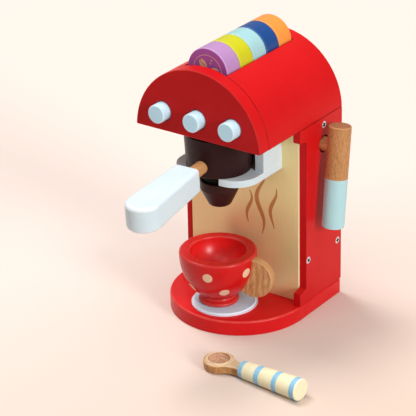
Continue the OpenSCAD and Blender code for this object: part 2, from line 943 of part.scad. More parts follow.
base_board();
drip_tray();
side_panel_left();
side_panel_right();
printed_panel();
rear_panel();
top_rail();
side_screws();
base_screws();
head_screws();
fascia_plate();
head_cover();
head_back_plate();
head_floor();
pod_cradle();
button_guide();
cradle_rib();
fork_plate();
fork_cheek_left();
fork_cheek_right();
fork_pins();
button_left();
button_middle();
button_right();
button_spring_left();
button_spring_middle();
button_spring_right();
filter_cup();
filter_spout();
filter_dowel();
filter_handle();
lever_grip();
lever_peg();
lever_washer();
lever_screw();
pod_1();
pod_2();
pod_3();
pod_4();
pod_5();
cup_bowl();
cup_handle();
cup_handle_pin();
scoop_bowl();
scoop_grip();
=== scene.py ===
from math import acos, asin, atan2, copysign, cos, degrees, hypot, pi, radians, sin, sqrt, tan

import bmesh
import bpy
from mathutils import Matrix, Vector
from mathutils.geometry import tessellate_polygon


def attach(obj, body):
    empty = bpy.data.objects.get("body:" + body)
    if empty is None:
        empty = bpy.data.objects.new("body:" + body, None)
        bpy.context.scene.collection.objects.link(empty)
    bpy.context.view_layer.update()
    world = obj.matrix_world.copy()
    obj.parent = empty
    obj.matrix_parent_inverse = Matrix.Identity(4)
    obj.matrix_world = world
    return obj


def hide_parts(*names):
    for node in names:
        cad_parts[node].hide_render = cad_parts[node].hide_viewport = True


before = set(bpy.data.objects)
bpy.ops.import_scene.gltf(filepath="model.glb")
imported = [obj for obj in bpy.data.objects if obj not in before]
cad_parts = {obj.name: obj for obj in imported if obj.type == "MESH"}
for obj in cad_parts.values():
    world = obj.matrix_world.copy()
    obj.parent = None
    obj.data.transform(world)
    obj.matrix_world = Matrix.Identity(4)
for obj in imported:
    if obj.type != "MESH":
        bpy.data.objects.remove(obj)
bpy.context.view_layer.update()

# Everything is drawn in millimetres, in the frame of the CAD, and scaled to metres when a piece is made.
MM = 0.001
# What counts as nothing, in millimetres
TINY = 1e-6

# Sizes that the pieces share with the CAD
HALF_W = 65.0
BACK = 67.0
BASE_T = 14.0
HEAD_Z = 185.0
HEAD_AXIS_Z = 182.5
HEAD_FRONT = -63.0
FASCIA_BACK = -49.5
COVER_T = 8.0
SIDE_T = 7.0
PANEL_FRONT = 6.5
PANEL_T = 12.0
REAR_FRONT = 55.0
BUTTON_PITCH = 36.5
BUTTON_Z = 203.0
POD_R = 20.8
POD_T = 19.6
POD_STEP = 19.9
POD_Z = 241.8
FIRST_POD_BACK = -26.0
SLOT_HALF_W = 21.8
SLOT_BACK = 53.9
SEAT_Y = -31.0
FORK_BOTTOM = 141.5
FORK_TOP = 148.0
PEG = Vector((80.0, 37.5, 159.5))
# Radius of a countersunk screw hole at its mouth and below it
HOLE_MOUTH_R, HOLE_R = 3.6, 1.8
# How far a screw is sunk, and how far a cutter stands past the face that it cuts
SCREW_SINK, PAST = 0.3, 2.0
# Bends in degrees: where painted edge highlight and shade begin, over how much more they grow full, what
# still is flat, what is sharp
EDGE_BEND_FROM, EDGE_BEND_OVER, FLAT_BEND, SHARP_BEND = 4.0, 14.0, 0.5, 35.0
# A flat face that is wider than this gets neither painted edge highlight nor painted edge shade
BROAD = 0.6
SIDES = ((-1, "left"), (1, "right"))


# ---- outlines

def rounded(corners, steps=5, closed=True):
    """Outline whose corners (x, y, radius) are rounded; without a radius a corner stays sharp."""
    points = []
    count = len(corners)
    for i, corner in enumerate(corners):
        here = Vector(corner[:2])
        radius = corner[2] if len(corner) > 2 else 0
        if radius == 0 or (not closed and i in (0, count - 1)):
            points.append(here)
            continue
        before = (Vector(corners[i - 1][:2]) - here).normalized()
        after = (Vector(corners[(i + 1) % count][:2]) - here).normalized()
        half = before.angle(after) / 2
        centre = here + (before + after).normalized() * radius / sin(half)
        start = here + before * radius / tan(half) - centre
        bend = pi - 2 * half
        if start.x * after.y - start.y * after.x < 0:
            bend = -bend
        for k in range(steps + 1):
            points.append(centre + Matrix.Rotation(bend * k / steps, 2) @ start)
    return points


def arc(cx, cy, radius, start, end, steps):
    """Points from angle start to angle end, in degrees."""
    turns = [radians(start + (end - start) * k / steps) for k in range(steps + 1)]
    return [Vector((cx + radius * cos(t), cy + radius * sin(t))) for t in turns]


def polar(radius, angle):
    """Place at an angle in degrees about the origin."""
    t = radians(angle)
    return radius * cos(t), radius * sin(t)


def circle(cx, cy, radius, steps, hole=False):
    """Closed round outline, which runs the other way for a hole."""
    points = arc(cx, cy, radius, 0, 360, steps)[:-1]
    return points[::-1] if hole else points


def inward(loop):
    """For each point of a loop, the step that moves both of its edges inward by one."""
    moves = []
    for i, here in enumerate(loop):
        a = (here - loop[i - 1]).normalized()
        b = (loop[(i + 1) % len(loop)] - here).normalized()
        n, m = Vector((-a.y, a.x)), Vector((-b.y, b.x))
        moves.append((n + m) / (1 + n.dot(m)))
    return moves


def wound(loop):
    """The loop, reversed where it runs clockwise."""
    area = sum(a.x * b.y - b.x * a.y for a, b in zip(loop, loop[1:] + loop[:1]))
    return loop if area > 0 else loop[::-1]


# ---- solids

def prism(loops, low, high, r_low, r_high, steps=3):
    """Solid between two heights over an outline and its holes, with rounded edges, as points and faces."""
    def quarter(radius, height, sense):
        """Inset and height all over a rounded edge, from the level face outward."""
        turns = [pi / 2 * k / steps for k in range(steps + 1)] if radius else [pi / 2]
        return [(radius * (1 - sin(t)), height + sense * radius * (1 - cos(t))) for t in turns]

    levels = quarter(r_low, low, 1) + quarter(r_high, high, -1)[::-1]
    points, faces, rings = [], [], []
    for loop in loops:
        moves = inward(loop)
        ring_starts = []
        for inset, height in levels:
            ring_starts.append(len(points))
            points += [Vector((*(p + m * inset), height)) for p, m in zip(loop, moves)]
        n = len(loop)
        for a, b in zip(ring_starts, ring_starts[1:]):
            faces += [(a + i, a + (i + 1) % n, b + (i + 1) % n, b + i) for i in range(n)]
        rings.append((ring_starts, n))
    for level in (0, -1):
        chosen = [list(range(starts[level], starts[level] + n)) for starts, n in rings]
        flat = [i for ring in chosen for i in ring]
        for tri in tessellate_polygon([[points[i] for i in ring] for ring in chosen]):
            faces.append(tuple(flat[i] for i in tri))
    return points, faces


def lathe(profile, steps):
    """Solid turned about Z from a profile of (radius, height) that starts and ends on the axis."""
    spokes = [(cos(2 * pi * k / steps), sin(2 * pi * k / steps)) for k in range(steps)]
    points, faces, rings = [], [], []
    for r, z in profile:
        if r < TINY:
            rings.append([len(points)])
            points.append(Vector((0, 0, z)))
        else:
            rings.append(list(range(len(points), len(points) + steps)))
            points += [Vector((r * c, r * s, z)) for c, s in spokes]
    for a, b in zip(rings, rings[1:]):
        for k in range(steps):
            n = (k + 1) % steps
            if len(a) == 1:
                faces.append((a[0], b[n], b[k]))
            elif len(b) == 1:
                faces.append((a[k], a[n], b[0]))
            else:
                faces.append((a[k], a[n], b[n], b[k]))
    return points, faces


def spun(corners, steps, corner_steps=5):
    """Solid turned about Z from corners (radius, height, rounding), with level ends."""
    first, last = [(0, corners[0][1])], [(0, corners[-1][1])]
    return lathe(rounded(first + corners + last, corner_steps, False), steps)


def rod(radius, low, high):
    """Plain round solid about Z, to be cut away."""
    return lathe([(0, low), (radius, low), (radius, high), (0, high)], 48)


def pin(radius, low, high):
    """Round wooden pin about Z."""
    return spun([(radius, low, 0.5), (radius, high, 0.5)], 64, 3)


def joined(shapes):
    """Several shapes as one."""
    points, faces = [], []
    for p, f in shapes:
        faces += [tuple(i + len(points) for i in face) for face in f]
        points += p
    return points, faces


def mesh_of(name, shape, place):
    """Mesh of a shape that is put in its place, in metres."""
    points, faces = shape
    mesh = bpy.data.meshes.new(name)
    bm = bmesh.new()
    made = [bm.verts.new((place @ p) * MM) for p in points]
    for face in faces:
        bm.faces.new([made[i] for i in face])
    bmesh.ops.recalc_face_normals(bm, faces=bm.faces)
    bm.to_mesh(mesh)
    bm.free()
    return mesh


def new_object(name, data):
    """Object that is in the scene."""
    obj = bpy.data.objects.new(name, data)
    bpy.context.scene.collection.objects.link(obj)
    return obj


def mark_edges(mesh):
    """Writes how strongly the surface bends at each point, but not where a broad flat face begins; the paints
    draw edge highlights and edge shade from it.
    """
    bm = bmesh.new()
    bm.from_mesh(mesh)
    bm.faces.ensure_lookup_table()
    group = list(range(len(bm.faces)))

    def root(i):
        while group[i] != i:
            group[i] = group[group[i]]
            i = group[i]
        return i

    bends = {e: degrees(e.calc_face_angle(0.0)) for e in bm.edges if len(e.link_faces) == 2}
    for edge, bend in bends.items():
        if bend < FLAT_BEND:
            group[root(edge.link_faces[0].index)] = root(edge.link_faces[1].index)
    area, rim = [0.0] * len(group), [0.0] * len(group)
    for face in bm.faces:
        area[root(face.index)] += face.calc_area()
    for edge, bend in bends.items():
        one, other = (root(face.index) for face in edge.link_faces)
        if one != other:
            rim[one] += edge.calc_length()
            rim[other] += edge.calc_length()
    flat = {i for i in range(len(group)) if area[i] > 0 and 2 * area[i] > BROAD * MM * max(rim[i], TINY * MM)}
    edge_bend = []
    for vert in bm.verts:
        bend = max((bends.get(e, 0.0) for e in vert.link_edges), default=0.0)
        broad = any(root(face.index) in flat for face in vert.link_faces)
        edge_bend.append(0.0 if broad else min(1.0, max(0.0, (bend - EDGE_BEND_FROM) / EDGE_BEND_OVER)))
    bm.free()
    mesh.attributes.new("edge_bend", "FLOAT", "POINT").data.foreach_set("value", edge_bend)


def finish_mesh(obj):
    """Smooth shading with the flat faces kept flat."""
    mark_edges(obj.data)
    obj.data.shade_smooth()
    obj.data.set_sharp_from_angle(angle=radians(SHARP_BEND))
    flat = obj.modifiers.new("flat faces", "WEIGHTED_NORMAL")
    flat.keep_sharp = True


def carve(obj, cutters):
    """Cuts the solids away from a piece for good."""
    for shape, place in cutters:
        cutter = new_object("cutter", mesh_of("cutter", shape, place))
        cut = obj.modifiers.new("cut", "BOOLEAN")
        cut.operation, cut.solver, cut.object = "DIFFERENCE", "EXACT", cutter
        done = bpy.data.meshes.new_from_object(obj.evaluated_get(bpy.context.evaluated_depsgraph_get()))
        obj.modifiers.clear()
        obj.data = done
        bpy.data.objects.remove(cutter)


def soften(mesh, radius, steps=3, angle=50.0):
    """Rounds the sharp edges of a mesh for good."""
    bm = bmesh.new()
    bm.from_mesh(mesh)
    edges = [e for e in bm.edges if len(e.link_faces) == 2 and e.calc_face_angle() > radians(angle)]
    bmesh.ops.bevel(bm, geom=edges, offset=radius * MM, segments=steps, profile=0.5, affect="EDGES",
                    clamp_overlap=True)
    bm.to_mesh(mesh)
    bm.free()


def piece(name, shape, body, looks, place=Matrix(), replaced=(), cutters=(), paint=None, soft=None):
    """One piece of the toy.

    paint gives the number of a face's material, or says if it is the second, from the face's middle before it
    is placed and its normal in the frame. soft is the radius that sharp edges are rounded to.
    """
    obj = new_object(name, mesh_of(name, shape, place) if isinstance(shape, tuple) else shape)
    for look in looks if isinstance(looks, list) else [looks]:
        obj.data.materials.append(look)
    if cutters:
        carve(obj, cutters)
    if soft:
        soften(obj.data, soft)
    if paint:
        back = place.inverted()
        for face in obj.data.polygons:
            face.material_index = int(paint(back @ (face.center / MM), face.normal))
    finish_mesh(obj)
    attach(obj, body)
    if replaced:
        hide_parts(*replaced)
    return obj


def move(x, y, z):
    return Matrix.Translation((x, y, z))


def turn(angle, axis):
    return Matrix.Rotation(radians(angle), 4, axis)


def off_axis(p):
    return hypot(p.x, p.y)


# Places for outlines drawn in X and Z, and in Y and Z, whose third value is along the axis that is named
ALONG_Y = Matrix(((1, 0, 0, 0), (0, 0, 1, 0), (0, 1, 0, 0), (0, 0, 0, 1)))
ALONG_X = Matrix(((0, 0, 1, 0), (1, 0, 0, 0), (0, 1, 0, 0), (0, 0, 0, 1)))
# Like ALONG_Y, but with the third value towards the front
ON_FRONT = Matrix(((1, 0, 0, 0), (0, 0, -1, 0), (0, 1, 0, 0), (0, 0, 0, 1)))
# Turns a lathe so that its axis points to the front, or to the right
TO_FRONT = turn(90, "X")
TO_RIGHT = turn(90, "Y")


# ---- materials

# Turns of the frame, in degrees, that bring the grain from X, Y or Z to X
GRAIN_X, GRAIN_Y, GRAIN_Z = (0, 0, 0), (0, 0, 90), (0, 90, 0)
# How far behind its front limit the painted edge highlights fade in
HIGHLIGHT_FADE = 12
# Sockets of a node that mixes colours
MIX_FACTOR, MIX_A, MIX_B, MIX_RESULT = 0, 6, 7, 2


def srgb(code):
    """Linear colour of a code such as FFEEDD."""
    values = [int(code[i:i + 2], 16) / 255 for i in (0, 2, 4)]
    return tuple(v / 12.92 if v <= 0.04045 else ((v + 0.055) / 1.055) ** 2.4 for v in values) + (1,)


class Net:
    """Short way to join the nodes of a material or of the world."""

    def __init__(self, name, world=False):
        self.owner = (bpy.data.worlds if world else bpy.data.materials).new(name)
        self.owner.use_nodes = True
        self.tree = self.owner.node_tree
        self.shader = self.tree.nodes["Background" if world else "Principled BSDF"]
        self.place = self.add("TexCoord").outputs["Generated" if world else "Object"]

    def fill(self, socket, value):
        """Links a socket to another one, or gives it a value."""
        if isinstance(value, bpy.types.NodeSocket):
            self.tree.links.new(value, socket)
        else:
            socket.default_value = value

    def add(self, kind, inputs=None, **settings):
        node = self.tree.nodes.new("ShaderNode" + kind)
        for key, value in settings.items():
            setattr(node, key, value)
        for key, value in (inputs or {}).items():
            self.fill(node.inputs[key], value)
        return node

    def set(self, **values):
        for key, value in values.items():
            self.fill(self.shader.inputs[key.replace("_", " ")], value)

    def mapped(self, scale, rotation=(0, 0, 0), source=None):
        """Coordinates that are turned first and then scaled."""
        place = source or self.place
        if any(rotation):
            angles = [radians(a) for a in rotation]
            place = self.add("Mapping", {"Vector": place, "Rotation": angles}).outputs[0]
        return self.add("Mapping", {"Vector": place, "Scale": scale}).outputs[0]

    def noise(self, scale, detail, rough=0.5, source=None, distortion=0.0):
        return self.add("TexNoise", {
            "Vector": source or self.place, "Scale": scale, "Detail": detail, "Roughness": rough,
            "Distortion": distortion}).outputs["Fac"]

    def ramp(self, value, low, high, to_low=0.0, to_high=1.0):
        return self.add("MapRange", {
            "Value": value, "From Min": low, "From Max": high, "To Min": to_low, "To Max": to_high,
        }).outputs["Result"]

    def math(self, operation, a, b):
        return self.add("Math", {0: a, 1: b}, operation=operation).outputs[0]

    def plus(self, a, b):
        return self.math("ADD", a, b)

    def times(self, a, b):
        return self.math("MULTIPLY", a, b)

    def mix(self, factor, a, b):
        inputs = {MIX_FACTOR: factor, MIX_A: a, MIX_B: b}
        return self.add("Mix", inputs, data_type="RGBA").outputs[MIX_RESULT]

    def bump(self, height, strength, distance):
        inputs = {"Height": height, "Strength": strength, "Distance": distance * MM}
        return self.add("Bump", inputs).outputs["Normal"]


def lacquer(name, code, deep, rough, shine, grain=GRAIN_X, edge=None, edge_light_shade_strength=0.45, highlight_edges_to=None, turned=None):
    """Satin paint on sanded wood: the grain just shows through, the colour clouds a little, and bent edges
    take the edge colour, a painted highlight when it is light and painted shade when it is dark.

    grain turns the frame so that the grain runs along X. A front limit, when given, keeps the painted edge
    highlight to what lies in front of that Y. turned is the same kind of turn for a piece from the lathe,
    whose axis is then along X.
    """
    net = Net(name)
    clouds = net.noise(28.0, 3.0, 0.55)
    fibres = net.noise(1.0, 4.0, 0.6, net.mapped((60, 900, 900), grain))
    specks = net.noise(2600.0, 2.0, 0.5)
    tone = net.plus(net.ramp(clouds, 0.3, 0.7, 0.0, 0.6), net.ramp(fibres, 0.3, 0.75, 0.0, 0.4))
    relief = net.plus(fibres, net.times(specks, 0.35))
    if turned:
        lines = net.noise(1.0, 3.0, 0.7, net.mapped((1300, 4, 4), turned))
        tone = net.plus(net.times(tone, 0.6), net.ramp(lines, 0.35, 0.65, -0.1, 0.6))
        relief = net.plus(net.times(relief, 0.5), net.times(lines, 1.2))
    colour = net.mix(tone, srgb(code), srgb(deep))
    # Bent edges mix in the edge colour: painted highlight where it is light, painted shade where it is dark
    if edge:
        edge_bend = net.add("Attribute", attribute_name="edge_bend").outputs["Fac"]
        patchy = net.ramp(net.noise(90.0, 4.0, 0.6), 0.35, 0.65, 0.35, 1.0)
        amount = net.times(net.times(edge_bend, patchy), edge_light_shade_strength)
        if highlight_edges_to is not None:
            ahead = net.add("SeparateXYZ", {0: net.place}).outputs["Y"]
            amount = net.times(amount, net.ramp(ahead, highlight_edges_to * MM, (highlight_edges_to - HIGHLIGHT_FADE) * MM))
        colour = net.mix(amount, colour, srgb(edge))
    uneven = net.plus(net.times(clouds, 0.6), net.times(specks, 0.4))
    net.set(
        Base_Color=colour, Roughness=net.ramp(uneven, 0.3, 0.7, rough - 0.05, rough + 0.07),
        Normal=net.bump(relief, 0.22, 0.12), Specular_IOR_Level=shine,
    )
    return net.owner


def timber(name, light, mid, dark, rotation, ring, rough=0.5, centre=(0, 0, 0), waves=0.42, pore=0.55,
           spread=1.0, fleck=2100.0):
    """Fine-grained hardwood. rotation turns the frame so that the grain runs along X."""
    net = Net(name)
    shifted = net.add("VectorMath", {0: net.place, 1: [-c * MM for c in centre]}, operation="ADD")
    along = net.mapped((1, 1, 1), rotation, shifted.outputs[0])
    sweep = net.noise(1.0, 2.0, 0.5, net.mapped((9, 60, 60), source=along), 0.6)
    rings = net.add("TexWave", {
        "Vector": net.mapped((0.12, 1, 1), source=along), "Scale": ring, "Distortion": 5.0, "Detail": 3.0,
        "Detail Scale": 0.6, "Detail Roughness": 0.6}, wave_type="BANDS", bands_direction="Y").outputs["Fac"]
    fibres = net.noise(1.0, 5.0, 0.65, net.mapped((70, 1500, 1500), source=along))
    flecks = net.noise(1.0, 2.0, 0.5, net.mapped((fleck * 0.055, fleck, fleck), source=along))
    pores = net.ramp(flecks, 0.55, 0.64)
    tone = net.plus(net.times(rings, waves), net.times(sweep, 0.34))
    tone = net.plus(tone, net.ramp(fibres, 0.3, 0.7, -0.16 * spread, 0.34 * spread))
    wood = net.mix(net.ramp(tone, 0.1, 0.5), srgb(light), srgb(mid))
    wood = net.mix(net.ramp(tone, 0.5, 1.0), wood, srgb(dark))
    wood = net.mix(net.times(pores, pore), wood, srgb(dark))
    # Lighter where the surface bends at edges
    edge_bend = net.add("Attribute", attribute_name="edge_bend").outputs["Fac"]
    wood = net.mix(net.times(edge_bend, 0.4), wood, srgb(light))
    relief = net.math("SUBTRACT", net.times(fibres, 0.5), pores)
    net.set(
        Base_Color=wood, Roughness=net.ramp(fibres, 0.3, 0.7, rough - 0.06, rough + 0.1),
        Normal=net.bump(relief, 0.35, 0.12), Specular_IOR_Level=0.25,
    )
    return net.owner


def steel(name, light="F4F4F6", deep="D0D0D6", metal=0.5):
    net = Net(name)
    brushed = net.noise(1.0, 3.0, 0.6, net.mapped((300, 2600, 2600)))
    specks = net.noise(1800.0, 2.0)
    net.set(
        Base_Color=net.mix(net.ramp(specks, 0.4, 0.7), srgb(light), srgb(deep)), Metallic=metal,
        Roughness=net.ramp(brushed, 0.3, 0.7, 0.2, 0.36), Normal=net.bump(brushed, 0.25, 0.03),
    )
    return net.owner


def metal_print(name, light, reflected_red_code, streak, metal):
    """Printed satin metal colour of the column's front, with a painted reflection of the red toy that warms
    it towards its lower left.
    """
    net = Net(name)
    split = net.add("SeparateXYZ", {0: net.place})
    across = net.ramp(split.outputs["X"], 0.045, -0.02)
    down = net.ramp(split.outputs["Z"], 0.185, 0.014)
    clouds = net.noise(16.0, 2.0, 0.5)
    fibres = net.noise(1.0, 4.0, 0.6, net.mapped((900, 900, 50)))
    # Painted reflection of the red toy: the colour turns warmer towards the left and the bottom
    tint = net.plus(net.times(across, 0.7), net.times(down, 0.25))
    tint = net.plus(tint, net.ramp(clouds, 0.3, 0.7, -0.12, 0.12))
    colour = net.mix(tint, srgb(light), srgb(reflected_red_code))
    colour = net.mix(net.ramp(fibres, 0.3, 0.8, 0.0, 0.14), colour, srgb(streak))
    net.set(
        Base_Color=colour, Metallic=metal, Roughness=net.ramp(clouds, 0.3, 0.7, 0.31, 0.39),
        Normal=net.bump(fibres, 0.12, 0.08), Specular_IOR_Level=0.4,
    )
    return net.owner


SCOOP_TURN = 4.8
ABOUT_SCOOP = (0, 0, SCOOP_TURN)
# Colour, deeper colour, roughness, shine, grain, and the colour and strength of painted edges: a light one is
# a painted highlight, a dark one painted shade
# The red paint darkens its bent edges: painted shade in the seams
RED = lacquer("red lacquer", "D81418", "CC1014", 0.36, 0.1, GRAIN_Y, "640A0C", 0.75)
# The base lightens its bent edges only in front: painted highlight
RED_BASE = lacquer("red base lacquer", "E2171B", "D61216", 0.32, 0.22, GRAIN_Y, "F8786E", 0.36, highlight_edges_to=0)
# Darker red for the front faces of the head: painted shade
RED_FRONT_SHADED = lacquer("red front lacquer in painted shade", "C41015", "B80D11", 0.36, 0.12, GRAIN_Y, "F0605A", 0.3)
# The upright red paint darkens its bent edges: painted shade in the seams
RED_UPRIGHT = lacquer("red lacquer upright", "D61317", "CA0F12", 0.36, 0.14, GRAIN_Z, "6E080A", 0.75)
CUP_RED = lacquer("red cup lacquer", "D81618", "CC1113", 0.26, 0.28, GRAIN_Z, "FFB0A6", 0.16)
# Lighter red for the inside of the cup: painted light
CUP_INSIDE_LIT = lacquer("red cup inside in painted light", "EC2422", "DE1C1C", 0.31, 0.45, GRAIN_Z, "FFB0A6", 0.16)
PALE = lacquer("pale blue lacquer", "DEEDF3", "D0E3EC", 0.42, 0.2, GRAIN_Y, "FFFFFF", 0.7)
BUTTON_PALE = lacquer("button lacquer", "D0F2FF", "C2E8FA", 0.42, 0.2, GRAIN_X, "F2FAFF", 0.4,
                      turned=GRAIN_Y)
TRAY = lacquer("tray lacquer", "D8F4FF", "C4E4FA", 0.4, 0.2)
TRAY_RIM = lacquer("tray rim lacquer", "F0F6FF", "E0EAFA", 0.36, 0.25, edge="FFFFFF")
BROWN = lacquer("brown lacquer", "321A1A", "281213", 0.34, 0.12, edge="6E4E48", edge_light_shade_strength=0.3)
MAROON = lacquer("spout lacquer", "3A1817", "301111", 0.36, 0.16)
# Near black for the spout's neck and the top of its shoulder: painted shade under the fork
NECK_SHADE = lacquer("neck painted shade", "1A1614", "100E0D", 0.5, 0.08)
AQUA = lacquer("aqua lacquer", "BCE2E6", "AED8DE", 0.42, 0.2, GRAIN_Z, "F0FFFF")
CREAM = lacquer("cream lacquer", "FFF8D6", "F6E8BA", 0.42, 0.2, edge="FFFBEC", turned=ABOUT_SCOOP)
SKY = lacquer("sky blue lacquer", "A6D8F2", "84C0E2", 0.42, 0.2, turned=ABOUT_SCOOP)
DOT = lacquer("dot lacquer", "F4D2B0", "E6BC9C", 0.45, 0.15, edge="FFE8D2")
GOLD = metal_print("gold print", "F8EBAC", "F0CA96", "CCA060", 0.22)
SWIRL = metal_print("brown print", "CC8C4E", "C07C46", "A86A34", 0.15)
# Middle of the growth rings in the lever and in the cup's handle, and the turn of the latter's grain
LEVER_HEART, EAR_HEART, EAR_GRAIN = (80, 60, 0), (24, -20, 20), (0, 66, 0)
# Three colours, grain, closeness of the rings, roughness, middle of the rings, strength of rings and pores
# Raw wood on the panel's edges, made paler as a painted highlight
PANEL_EDGE = timber("panel edge", "FFF4D6", "F8E4BE", "E4CCA0", GRAIN_Z, 120.0)
LEVER_WOOD = timber("lever wood", "D09A66", "BE8450", "7E5028", GRAIN_Z, 160.0, 0.5, LEVER_HEART, 0.1, 0.75,
                    spread=1.2, fleck=3000.0)
LEVER_END = timber("lever end wood", "B07850", "9C6642", "6E4426", GRAIN_X, 420.0, 0.6, LEVER_HEART, 0.3, 0.8)
# Peg wood, tinted redder and paler as painted red bounce light from the side panel
PEG_WOOD_RED_BOUNCE = timber("peg wood", "DE9E70", "CC8A5E", "9C6238", GRAIN_X, 220.0)
DOWEL_WOOD = timber("dowel wood", "D09C68", "C08856", "986336", GRAIN_Y, 260.0, waves=0.2)
DISC_WOOD = timber("disc wood", "E2B282", "CC945E", "966238", EAR_GRAIN, 330.0, 0.5, EAR_HEART, 0.34, 0.6)
# The scoop's wood, with a paler copy for upward faces as painted light and a copy for the dish in painted
# light and shade
SCOOP_WOOD = timber("scoop wood", "DCA870", "BE8450", "824E20", GRAIN_X, 200.0, waves=0.2, pore=0.5)
SCOOP_LIT_TOP = timber("scoop lit top wood", "F6DEBA", "E4BE92", "B48252", GRAIN_X, 200.0, waves=0.2, pore=0.4)
HOLLOW_LIGHT_SHADE_WOOD = timber("scoop hollow wood in painted light and shade", "E6BC9C", "C4906E", "80503A", GRAIN_X, 300.0, 0.62, waves=0.2,
                     pore=0.8)
INNER_WOOD = timber("inner wood", "E2C090", "D2AC7A", "AC8050", GRAIN_X, 150.0)
STEEL = steel("screw steel")
# Dark steel for the inside of each cross recess: painted shade
SHADED_STEEL = steel("slot steel in painted shade", "3A383A", "201E20", 0.3)
# Slot of each capsule, and its colour, deeper colour, painted edge highlight, face and printed beans
CAPSULES = (
    ("lilac_lacquer", "C094C6", "B484BC", "F0D0F4", "A85AAA", "E0B484"),
    ("yellow_lacquer", "D2D012", "C8C606", "FFFFA0", "B0AC10", "7A5230"),
    ("aqua_lacquer", "AAD6DA", "9CCCD2", "F0FFFF", "62B4BC", "F6ECD2"),
    ("blue_lacquer", "064A94", "004084", "6FA4DC", "063C80", "E8C898"),
    ("orange_lacquer", "F89E44", "F09034", "FFDCA8", "D87C20", "7A4424"),
)


# ---- base and column

def screw_cutter(length=25.0):
    """Countersunk hole with its mouth at the origin, going down."""
    return lathe([(0, -length), (HOLE_R, -length), (HOLE_R, HOLE_R - HOLE_MOUTH_R), (HOLE_MOUTH_R, 0),
                  (HOLE_MOUTH_R, PAST), (0, PAST)], 32)


def half_round(radius, floor=HEAD_Z, corner=1.0):
    """Outline of the head in X and Z, standing on a level floor."""
    end = degrees(asin((floor - HEAD_AXIS_Z) / radius))
    reach = radius * cos(radians(end))
    trim = degrees(corner * 1.2 / radius)
    level = rounded([(-reach, floor + corner * 2, 0), (-reach, floor, corner), (reach, floor, corner),
                     (reach, floor + corner * 2, 0)], 4, False)
    return level[1:-1] + arc(0, HEAD_AXIS_Z, radius, end + trim, 180 - end - trim, 72)


BASE_SCREW_X, BASE_SCREW_YS, BASE_CORNER = 32.5, (12.5, 61.0), 2.5
base_back = rounded([(HALF_W, 0), (HALF_W, BACK, BASE_CORNER), (-HALF_W, BACK, BASE_CORNER), (-HALF_W, 0)],
                    5, False)
base_outline = arc(0, 0, HALF_W, 180, 360, 96) + base_back[1:-1]
base_holes = [(screw_cutter(BASE_T), move(x, y, SCREW_SINK) @ turn(180, "X"))
              for x in (-BASE_SCREW_X, BASE_SCREW_X) for y in BASE_SCREW_YS]
piece("base", prism([base_outline], 0, BASE_T, 0.8, 1.8, 5), "machine", RED_BASE,
      replaced=["base_board"], cutters=base_holes)

AT_TRAY = move(1.8, -29.0, BASE_T)
TRAY_R, TRAY_T, TRAY_FLOOR, TRAY_RIM_R = 30, 2.2, 2.0, 27.3
tray = spun([(TRAY_R, 0, 0.3), (TRAY_R, TRAY_T, 0.9), (TRAY_RIM_R + 0.3, TRAY_T, 0.3),
             (TRAY_RIM_R - 0.1, TRAY_FLOOR, 0.3)], 128, 4)
piece("tray", tray, "machine", [TRAY_RIM, TRAY], AT_TRAY, ["drip_tray"],
      paint=lambda p, n: off_axis(p) < TRAY_RIM_R and p.z > 1)

# Front edge of a side panel at foot and shoulder, and between them, and the heights where it changes
SIDE_FRONT, SIDE_RECESS, FOOT_Z, SHOULDER_Z, SLOPE = -2, 8, 26, 173, 2.5
side_outline = rounded([
    (SIDE_FRONT, BASE_T, 0.6), (BACK, BASE_T, 1.0), (BACK, HEAD_Z, 1.0), (SIDE_FRONT, HEAD_Z, 0.6),
    (SIDE_FRONT, SHOULDER_Z, 1.2), (SIDE_RECESS, SHOULDER_Z - SLOPE, 2.0), (SIDE_RECESS, FOOT_Z + SLOPE, 2.0),
    (SIDE_FRONT, FOOT_Z, 1.2)])
# Y and Z of a side panel's screws
SIDE_SCREWS = [(37.5, 177.5), (12.5, 55.0), (61.0, 55.0)]
PANEL_HALF, PEG_HOLE_R = HALF_W - SIDE_T, 8.0
for side, name in SIDES:
    holes = [circle(PEG.y, PEG.z, PEG_HOLE_R, 64, True)] if side > 0 else []
    low, high = sorted((side * PANEL_HALF, side * HALF_W))
    cutters = [(screw_cutter(), move(side * (HALF_W - SCREW_SINK), y, z) @ turn(side * 90, "Y"))
               for y, z in SIDE_SCREWS]
    piece(f"side_{name}", prism([side_outline] + holes, low, high, 0.7, 0.7, 4), "machine",
          RED_UPRIGHT, ALONG_X, [f"side_panel_{name}"], cutters)

panel_outline = rounded([(-PANEL_HALF, BASE_T, 0.3), (PANEL_HALF, BASE_T, 0.3), (PANEL_HALF, HEAD_Z, 0.3),
                         (-PANEL_HALF, HEAD_Z, 0.3)], 3)
piece("panel", prism([panel_outline], PANEL_FRONT, PANEL_FRONT + PANEL_T, 0.35, 0.35), "machine",
      [PANEL_EDGE, GOLD], ALONG_Y, ["printed_panel"],
      paint=lambda p, n: n.y < -0.9)
piece("back_board", prism([panel_outline], REAR_FRONT, BACK, 0.5, 0.8), "machine", RED_UPRIGHT,
      ALONG_Y, ["rear_panel"])


def slotted(profile, slot, depth, steps=48):
    """Turned solid whose open end is closed by a level top with a slot in it."""
    points, faces = lathe(profile, steps)
    top = profile[-1][1]
    rim = list(range(len(points) - steps, len(points)))
    mouth = [len(points) + k for k in range(len(slot))]
    floor = [k + len(slot) for k in mouth]
    points += [Vector((x, y, top)) for x, y in slot] + [Vector((x, y, top - depth)) for x, y in slot]
    for rings in ([rim, mouth], [floor]):
        flat = [i for ring in rings for i in ring]
        outlines = [[points[i] for i in ring] for ring in rings]
        faces += [tuple(flat[i] for i in tri) for tri in tessellate_polygon(outlines)]
    for k in range(len(slot)):
        n = (k + 1) % len(slot)
        faces.append((mouth[k], mouth[n], floor[n], floor[k]))
    return points, faces


